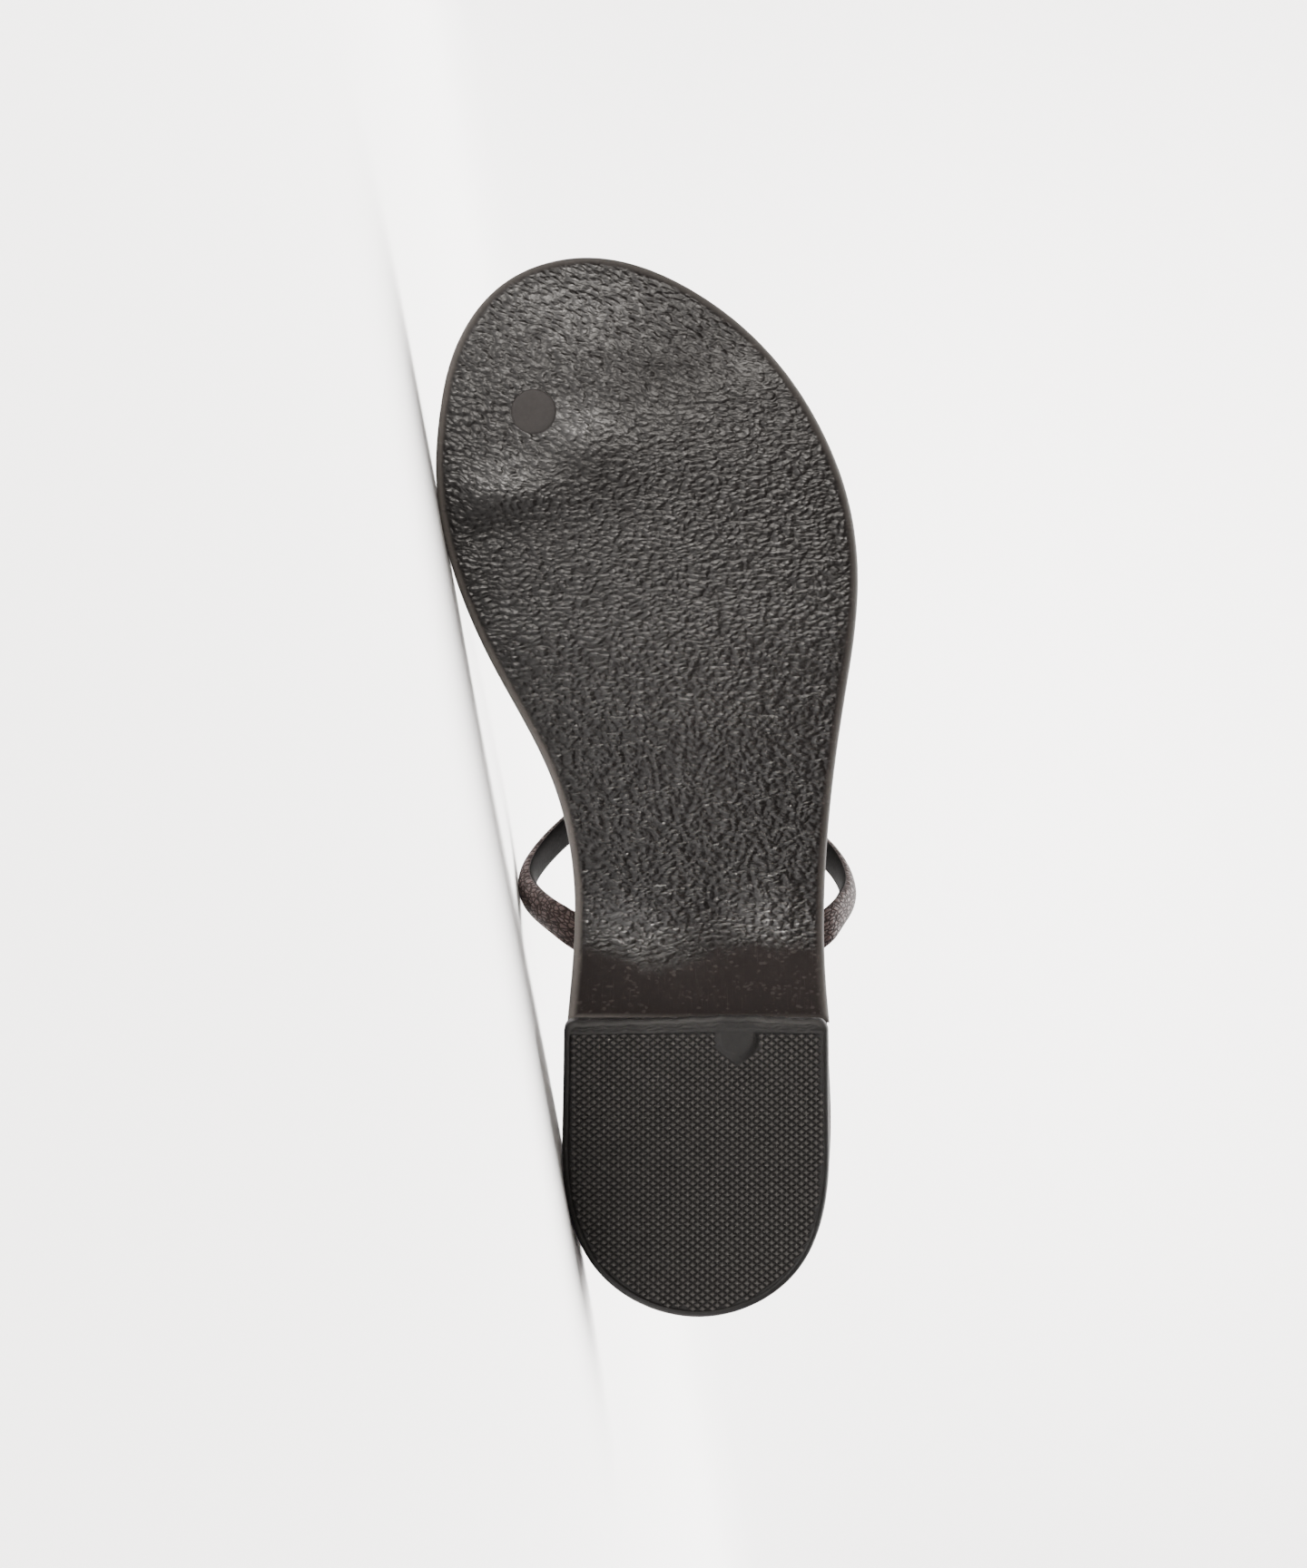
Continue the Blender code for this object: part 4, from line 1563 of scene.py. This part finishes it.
    def build(self) -> bpy.types.Object:
        """Makes the lift and its pyramids as one object.

        Returns:
            The finished object, standing for the heel_lift node.
        """
        maker = MeshMaker("heel_lift_rubber")
        rims = [self.loop(row) for row in self.rim]
        low = cap_grid(rims[0], self.columns)
        across, along = low[..., 0], low[..., 1]
        groove = smoothstep(self.band_rear, self.band_rear + 0.5, along)
        groove = groove * smoothstep(self.lip_rear + 0.3, self.lip_rear, along)
        groove = self.groove * groove * smoothstep(30.5, 28.5, np.abs(across))
        sink = self.sunk * self.field(across, along) + groove
        low[..., 2] += np.maximum(sink - self.ripple(across, along), 0.0)
        fronts = [cap_grid(rim, self.columns)[-1, -2:0:-1] for rim in rims]
        sides = zip(rims, fronts)
        walls = np.stack([np.concatenate([rim[:, 1], front, rim[::-1, 0]]) for rim, front in sides])
        maker.grid(self.uneven(walls), wrap=True)
        maker.grid(self.uneven(low))
        maker.grid(cap_grid(rims[-1], 6))
        piece = maker.make(50.0)
        places = shoe_array(piece.data)
        add_values(piece.data, "worn", self.worn(places))
        material = TreadRubber("lift_rubber", specular=0.2).material()
        piece.data.materials.append(material)
        studs = StudField(self).build(material)
        return join((piece, studs))


@dataclass
class StudField:
    """Small pyramids of the lift, set out and realized by Geometry Nodes."""

    lift: HeelLift
    foot: float = 0.97
    top: float = 0.34
    node_name: str = "stud_field"
    rows_reach: tuple[float, float] = (2.0, 66.0)
    row_reach: tuple[float, float] = (-31.0, 32.0)
    least_field: float = 0.97
    lift_off: float = 0.02

    def places(self) -> Array:
        """Where the pyramids stand, staggered in rows.

        Returns:
            Shoe coordinates in rows.
        """
        rows = np.arange(*self.rows_reach, self.lift.pitch_along / 2)
        found = []
        for index, along in enumerate(rows):
            shift = (index % 2) * self.lift.pitch_across / 2
            across = np.arange(*self.row_reach, self.lift.pitch_across) + shift
            spots = np.column_stack([across, np.full(len(across), along)])
            keep = self.lift.field(spots[:, 0], spots[:, 1]) > self.least_field
            found.append(spots[keep & self.inside(spots)])
        flat = np.concatenate(found)
        return np.column_stack([flat, np.full(len(flat), self.lift.sunk + self.lift_off)])

    def inside(self, spots: Array) -> Array:
        """Whether places lie inside the lift's rim."""
        lateral, medial = LIFT.inset(self.lift.rim_width).across(spots[:, 1])
        return (spots[:, 0] > lateral) & (spots[:, 0] < medial) & (spots[:, 1] > self.lift.rim_width)

    def tree(self, material: bpy.types.Material) -> tuple[bpy.types.NodeTree, dict[str, str]]:
        """The node tree that sets a pyramid on every point.

        Args:
            material: Material of the pyramids.

        Returns:
            The tree, and the identifier of each named input.
        """
        tree = bpy.data.node_groups.new(self.node_name, "GeometryNodeTree")
        face = tree.interface
        face.new_socket("Geometry", in_out="INPUT", socket_type="NodeSocketGeometry")
        named = {}
        for label in ("Foot", "Top", "Height", "Stretch"):
            named[label] = face.new_socket(label, in_out="INPUT", socket_type="NodeSocketFloat").identifier
        face.new_socket("Geometry", in_out="OUTPUT", socket_type="NodeSocketGeometry")
        source = tree.nodes.new("NodeGroupInput")
        target = tree.nodes.new("NodeGroupOutput")
        cone = tree.nodes.new("GeometryNodeMeshCone")
        cone.inputs["Vertices"].default_value = 4
        tree.links.new(source.outputs["Top"], cone.inputs["Radius Top"])
        tree.links.new(source.outputs["Foot"], cone.inputs["Radius Bottom"])
        tree.links.new(source.outputs["Height"], cone.inputs["Depth"])
        stretch = tree.nodes.new("ShaderNodeCombineXYZ")
        stretch.inputs["X"].default_value = 1
        stretch.inputs["Z"].default_value = 1
        tree.links.new(source.outputs["Stretch"], stretch.inputs["Y"])
        spread = tree.nodes.new("GeometryNodeInstanceOnPoints")
        spread.inputs["Rotation"].default_value = (math.pi, 0, 0)
        tree.links.new(source.outputs["Geometry"], spread.inputs["Points"])
        tree.links.new(cone.outputs["Mesh"], spread.inputs["Instance"])
        tree.links.new(stretch.outputs["Vector"], spread.inputs["Scale"])
        real = tree.nodes.new("GeometryNodeRealizeInstances")
        tree.links.new(spread.outputs["Instances"], real.inputs["Geometry"])
        paint = tree.nodes.new("GeometryNodeSetMaterial")
        paint.inputs["Material"].default_value = material
        tree.links.new(real.outputs["Geometry"], paint.inputs["Geometry"])
        tree.links.new(paint.outputs["Geometry"], target.inputs["Geometry"])
        return tree, named

    def build(self, material: bpy.types.Material) -> bpy.types.Object:
        """Makes the pyramids as plain mesh in the row frame.

        Args:
            material: Material of the pyramids.

        Returns:
            The new object.
        """
        mesh = bpy.data.meshes.new("stud_points")
        mesh.from_pydata(self.places().tolist(), [], [])
        piece = bpy.data.objects.new("lift_studs", mesh)
        bpy.context.scene.collection.objects.link(piece)
        tree, named = self.tree(material)
        spread = piece.modifiers.new("studs", "NODES")
        spread.node_group = tree
        half = self.lift.pitch_across / 2
        values = {
            "Foot": half * self.foot,
            "Top": half * self.top,
            "Height": self.lift.stud_height,
            "Stretch": self.lift.pitch_along / self.lift.pitch_across,
        }
        for label, value in values.items():
            spread[named[label]] = value
        apply_modifiers(piece)
        piece.data.materials.clear()
        piece.data.materials.append(material)
        piece.data.polygons.foreach_set("material_index", [0] * len(piece.data.polygons))
        add_values(piece.data, "worn", smoothstep(0.35, 0.05, vertex_array(piece.data)[:, 2]))
        piece.data.transform(SHOE.matrix() @ Matrix.Scale(MM, 4))
        return piece


def join(pieces: tuple[bpy.types.Object, ...]) -> bpy.types.Object:
    """Joins pieces into the first of them.

    Args:
        pieces: Pieces to join.

    Returns:
        The first piece.
    """
    with bpy.context.temp_override(active_object=pieces[0], selected_editable_objects=list(pieces)):
        bpy.ops.object.join()
    return pieces[0]


@dataclass
class Straps:
    """Instep strap and toe strap: padded scale leather over a smooth lining."""

    instep_steps: int = 420
    toe_steps: int = 260
    sides: int = 40
    lining_edge: float = 0.10
    pattern_half: float = 4.6
    pattern_gap: float = 20.0
    notch_steps: int = 120
    notch_sides: int = 20
    notch_room: float = 0.5

    def sections(
        self, rows: tuple[StrapRow, ...], steps: int, axis: Vector, grow: float, sides: int
    ) -> tuple[Array, Array]:
        """Cross-sections along a strap.

        Args:
            rows: Table of the strap.
            steps: Number of sections.
            axis: Shoe axis that facing turns the outer side towards.
            grow: Clearance to add all round.
            sides: Corners of each section.

        Returns:
            The corners of the sections, and the length run at each of them.
        """
        table = np.array([row[1:] for row in rows])
        table[:, 2] += SHAPE.footbed_top(table[:, 1])
        path = smooth_path(table, steps, False, 3)
        travel = np.gradient(path[:, :3], axis=0)
        run = np.concatenate([[0], np.cumsum(np.linalg.norm(np.diff(path[:, :3], axis=0), axis=1))])
        angles = np.linspace(0, 2 * math.pi, sides, endpoint=False)
        sections = []
        for row, ahead in zip(path, travel):
            place, (width, thickness, crown, facing) = row[:3], row[3:]
            ahead = ahead / np.linalg.norm(ahead)
            turn = math.radians(facing)
            square_up = np.array((0, -SHAPE.footbed_slope(place[1]), 1))
            outward = math.cos(turn) * square_up + math.sin(turn) * np.array(axis)
            outward = outward - outward.dot(ahead) * ahead
            outward /= np.linalg.norm(outward)
            sideways = np.cross(ahead, outward)
            depth = np.where(np.sin(angles) > 0, 2 * crown, 2 * (1 - crown)) * (thickness / 2)
            offsets = np.outer(np.cos(angles) * (width / 2 + grow), sideways)
            offsets += np.outer(np.sin(angles) * (depth + grow), outward)
            sections.append(place + offsets)
        return np.stack(sections), run

    def sweep(self, name: str, rows: tuple[StrapRow, ...], steps: int, axis: Vector) -> bpy.types.Object:
        """One strap with its pattern coordinates and its two leathers.

        Args:
            name: Name of the object.
            rows: Table of the strap.
            steps: Number of sections.
            axis: Shoe axis that facing turns the outer side towards.

        Returns:
            The new object.
        """
        rings, run = self.sections(rows, steps, axis, 0.0, self.sides)
        piece = self.closed(name, rings).make(70.0)
        mesh = piece.data
        angles = np.linspace(0, 2 * math.pi, self.sides, endpoint=False)
        around = np.tile(angles, len(rings))
        over = np.cos(around) * self.pattern_half + np.sign(np.sin(around)) * self.pattern_gap
        strap = np.column_stack([np.repeat(run, self.sides), over, np.sin(around)])
        strap = strap[self.match(shoe_array(mesh), rings.reshape(-1, 3))]
        add_values(mesh, "strap", strap)
        mesh.materials.append(ScaleLeather("strap_leather", space=Space.STRAP, specular=0.10).material())
        tones = {"dark": (0.0024, 0.0023, 0.0022), "light": (0.0042, 0.0040, 0.0038)}
        lining = SmoothLeather("strap_lining", specular=0.03, roughness=0.8, **tones)
        mesh.materials.append(lining.material())
        inner = strap[:, 2] < -self.lining_edge
        for face in mesh.polygons:
            face.material_index = int(all(inner[i] for i in face.vertices) or len(face.vertices) > 4)
        return piece

    def closed(self, name: str, rings: Array) -> MeshMaker:
        """A sweep through sections with both ends closed.

        Args:
            name: Name of the object to make.
            rings: Corners of the sections.

        Returns:
            The mesh, ready to make.
        """
        maker = MeshMaker(name)
        maker.grid(rings, wrap=True)
        maker.fan(rings[0])
        maker.fan(rings[-1])
        return maker

    def match(self, places: Array, points: Array) -> Array:
        """Finds the point that each welded place came from.

        Args:
            places: Welded places in rows.
            points: Points in rows.

        Returns:
            An index into points for each place.
        """
        tree = KDTree(len(points))
        for i, point in enumerate(points):
            tree.insert(point, i)
        tree.balance()
        return np.array([tree.find(place)[1] for place in places])

    def notch(self, piece: bpy.types.Object) -> None:
        """Cuts the way of both straps out of a piece.

        Args:
            piece: Piece to cut.
        """
        side, front = Vector((1, 0, 0)), Vector((0, 1, 0))
        deeper = TOE_STRAP[-1]._replace(rise=TOE_STRAP[-1].rise - 4 * GAP)
        ways = ((INSTEP_STRAP, side, self.notch_room), (TOE_STRAP[:-1] + (deeper,), front, GAP))
        for rows, axis, grow in ways:
            rings, _ = self.sections(rows, self.notch_steps, axis, grow, self.notch_sides)
            cut_away(piece, self.closed("notch", rings).make())

    def build(self) -> bpy.types.Object:
        """Makes both straps as one object.

        Returns:
            The finished object, standing for the upper_straps node.
        """
        instep = self.sweep("strap_upper", INSTEP_STRAP, self.instep_steps, Vector((1, 0, 0)))
        toe = self.sweep("toe_strap", TOE_STRAP, self.toe_steps, Vector((0, 1, 0)))
        return join((instep, toe))


@dataclass
class Stage:
    """Pale floor that sweeps up into a backdrop far behind the shoe."""

    front: float = -2.2
    back: float = 1.5
    bend: float = 0.7
    top: float = 2.4
    half_width: float = 2.6
    bend_steps: int = 24

    def build(self) -> bpy.types.Object:
        """Makes the seamless floor and backdrop.

        Returns:
            The new object.
        """
        turns = np.linspace(0, math.pi / 2, self.bend_steps + 1)
        curve = [(self.back + self.bend * math.sin(t), self.bend * (1 - math.cos(t))) for t in turns]
        profile = [(self.front, 0.0), *curve, (self.back + self.bend, self.top)]
        points = [(x, y, z) for y, z in profile for x in (-self.half_width, self.half_width)]
        faces = [(2 * i, 2 * i + 1, 2 * i + 3, 2 * i + 2) for i in range(len(profile) - 1)]
        mesh = bpy.data.meshes.new("stage")
        mesh.from_pydata(points, [], faces)
        mesh.shade_smooth()
        mesh.materials.append(Paper("stage_paper").material())
        piece = bpy.data.objects.new("stage", mesh)
        bpy.context.scene.collection.objects.link(piece)
        return piece


@dataclass(frozen=True)
class Lamp:
    """One soft area light.

    Args:
        name: Light's name.
        place: Where it hangs, in the row frame.
        aim: What it points at.
        size: Width and height in metres.
        power: Watts.
        spread: Angle of its beam, in degrees.
        tint: Colour of its light.
    """

    name: str
    place: Vector
    aim: Vector
    size: tuple[float, float]
    power: float
    spread: float = 180.0
    tint: Tone = (1.0, 0.95, 0.89)

    def build(self) -> None:
        """Hangs the light and points it."""
        data = bpy.data.lights.new(self.name, "AREA")
        data.shape = "RECTANGLE"
        data.size, data.size_y = self.size
        data.energy = self.power
        data.spread = math.radians(self.spread)
        data.color = self.tint
        lamp = bpy.data.objects.new(self.name, data)
        lamp.location = self.place
        lamp.rotation_mode = "QUATERNION"
        lamp.rotation_quaternion = (self.aim - self.place).to_track_quat("-Z", "Y")
        bpy.context.scene.collection.objects.link(lamp)


@dataclass
class Studio:
    """Plain soft studio light: a key and a small waist lamp from the toe side, and wide floor lights."""

    fill: float = 0.08
    horizon: float = 1.1
    tint: Tone = (1.0, 0.985, 0.98)
    lamps: tuple[Lamp, ...] = (
        Lamp(
            name="key",
            place=SHOE.row(-60.0, 790.0, -1068.0),
            aim=SHOE.row(8.0, 140.0, 3.0),
            size=(0.30, 0.30),
            power=16.2,
        ),
        Lamp(
            name="waist",
            place=SHOE.row(-20.0, 450.0, -1068.0),
            aim=SHOE.row(0.0, 106.0, 8.0),
            size=(0.08, 0.08),
            power=0.019,
            spread=4.6,
        ),
        Lamp(
            name="overhead",
            place=Vector((0.0, 0.75, 1.6)),
            aim=Vector((0.0, 0.05, 0.0)),
            size=(2.6, 1.6),
            power=165.0,
            spread=120.0,
            tint=(1.0, 0.975, 0.96),
        ),
        Lamp(
            name="backdrop",
            place=Vector((0.0, 0.9, 1.6)),
            aim=Vector((0.0, 2.2, 0.35)),
            size=(2.6, 0.6),
            power=76.0,
            spread=90.0,
            tint=(1.0, 0.975, 0.965),
        ),
    )

    def build(self) -> None:
        """Sets the surroundings and hangs the lights."""
        world = bpy.data.worlds.new("studio")
        world.use_nodes = True
        tree = world.node_tree
        fill = tree.nodes["Background"]
        horizon = tree.nodes.new("ShaderNodeBackground")
        for sky, strength in ((fill, self.fill), (horizon, self.horizon)):
            sky.inputs["Color"].default_value = (*self.tint, 1)
            sky.inputs["Strength"].default_value = strength
        mix = tree.nodes.new("ShaderNodeMixShader")
        path = tree.nodes.new("ShaderNodeLightPath")
        tree.links.new(path.outputs["Is Camera Ray"], mix.inputs[0])
        tree.links.new(fill.outputs[0], mix.inputs[1])
        tree.links.new(horizon.outputs[0], mix.inputs[2])
        tree.links.new(mix.outputs[0], tree.nodes["World Output"].inputs["Surface"])
        bpy.context.scene.world = world
        for lamp in self.lamps:
            lamp.build()


@dataclass
class PhotoCamera:
    """Camera square to the sole, at the photograph's framing.

    Args:
        across: Where its axis meets the ground face, across the shoe.
        along: The same, along the shoe.
        distance: Millimetres from the ground face.
        tall: Height of the picture at the ground face, in millimetres.
    """

    across: float = 10.03
    along: float = 122.99
    distance: float = 600.0
    tall: float = 361.13
    sensor: float = 36.0

    def build(self) -> None:
        """Makes the camera and sets it as the scene's."""
        data = bpy.data.cameras.new("photo_camera")
        data.sensor_fit = "AUTO"
        data.sensor_width = self.sensor
        data.lens = self.sensor * self.distance / self.tall
        data.clip_start = 0.01
        data.clip_end = 20
        camera = bpy.data.objects.new("photo_camera", data)
        right = SHOE.direction(-1, 0, 0)
        up = SHOE.direction(0, 1, 0)
        back = SHOE.direction(0, 0, -1)
        turn = Matrix((right, up, back)).transposed().to_4x4()
        place = SHOE.row(self.across, self.along, -self.distance)
        camera.matrix_world = Matrix.Translation(place) @ turn
        bpy.context.scene.collection.objects.link(camera)
        bpy.context.scene.camera = camera


@dataclass(frozen=True)
class Dressing:
    """Which piece stands for which CAD node."""

    node: str
    make: Callable[[], bpy.types.Object]

    def build(self) -> None:
        """Makes the piece and sets it on the frame in the node's place."""
        piece = self.make()
        add_values(piece.data, "shoe", shoe_array(piece.data))
        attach(piece, "root")
        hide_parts(self.node)
        LOG.info("%s: %d faces for %s", piece.name, len(piece.data.polygons), self.node)


def main() -> None:
    """Builds the scene in order."""
    logging.basicConfig(level=logging.INFO, format="%(message)s")
    PhotoCamera().build()
    Studio().build()
    Stage().build()
    dressings = (
        Dressing("outsole", Outsole().build),
        Dressing("thong_plug", ThongPlug().build),
        Dressing("footbed", Footbed().build),
        Dressing("insole", SockLining().build),
        Dressing("heel_block", HeelBlock().build),
        Dressing("heel_lift", HeelLift().build),
        Dressing("upper_straps", Straps().build),
    )
    for dressing in dressings:
        dressing.build()


if __name__ == "__main__":
    main()
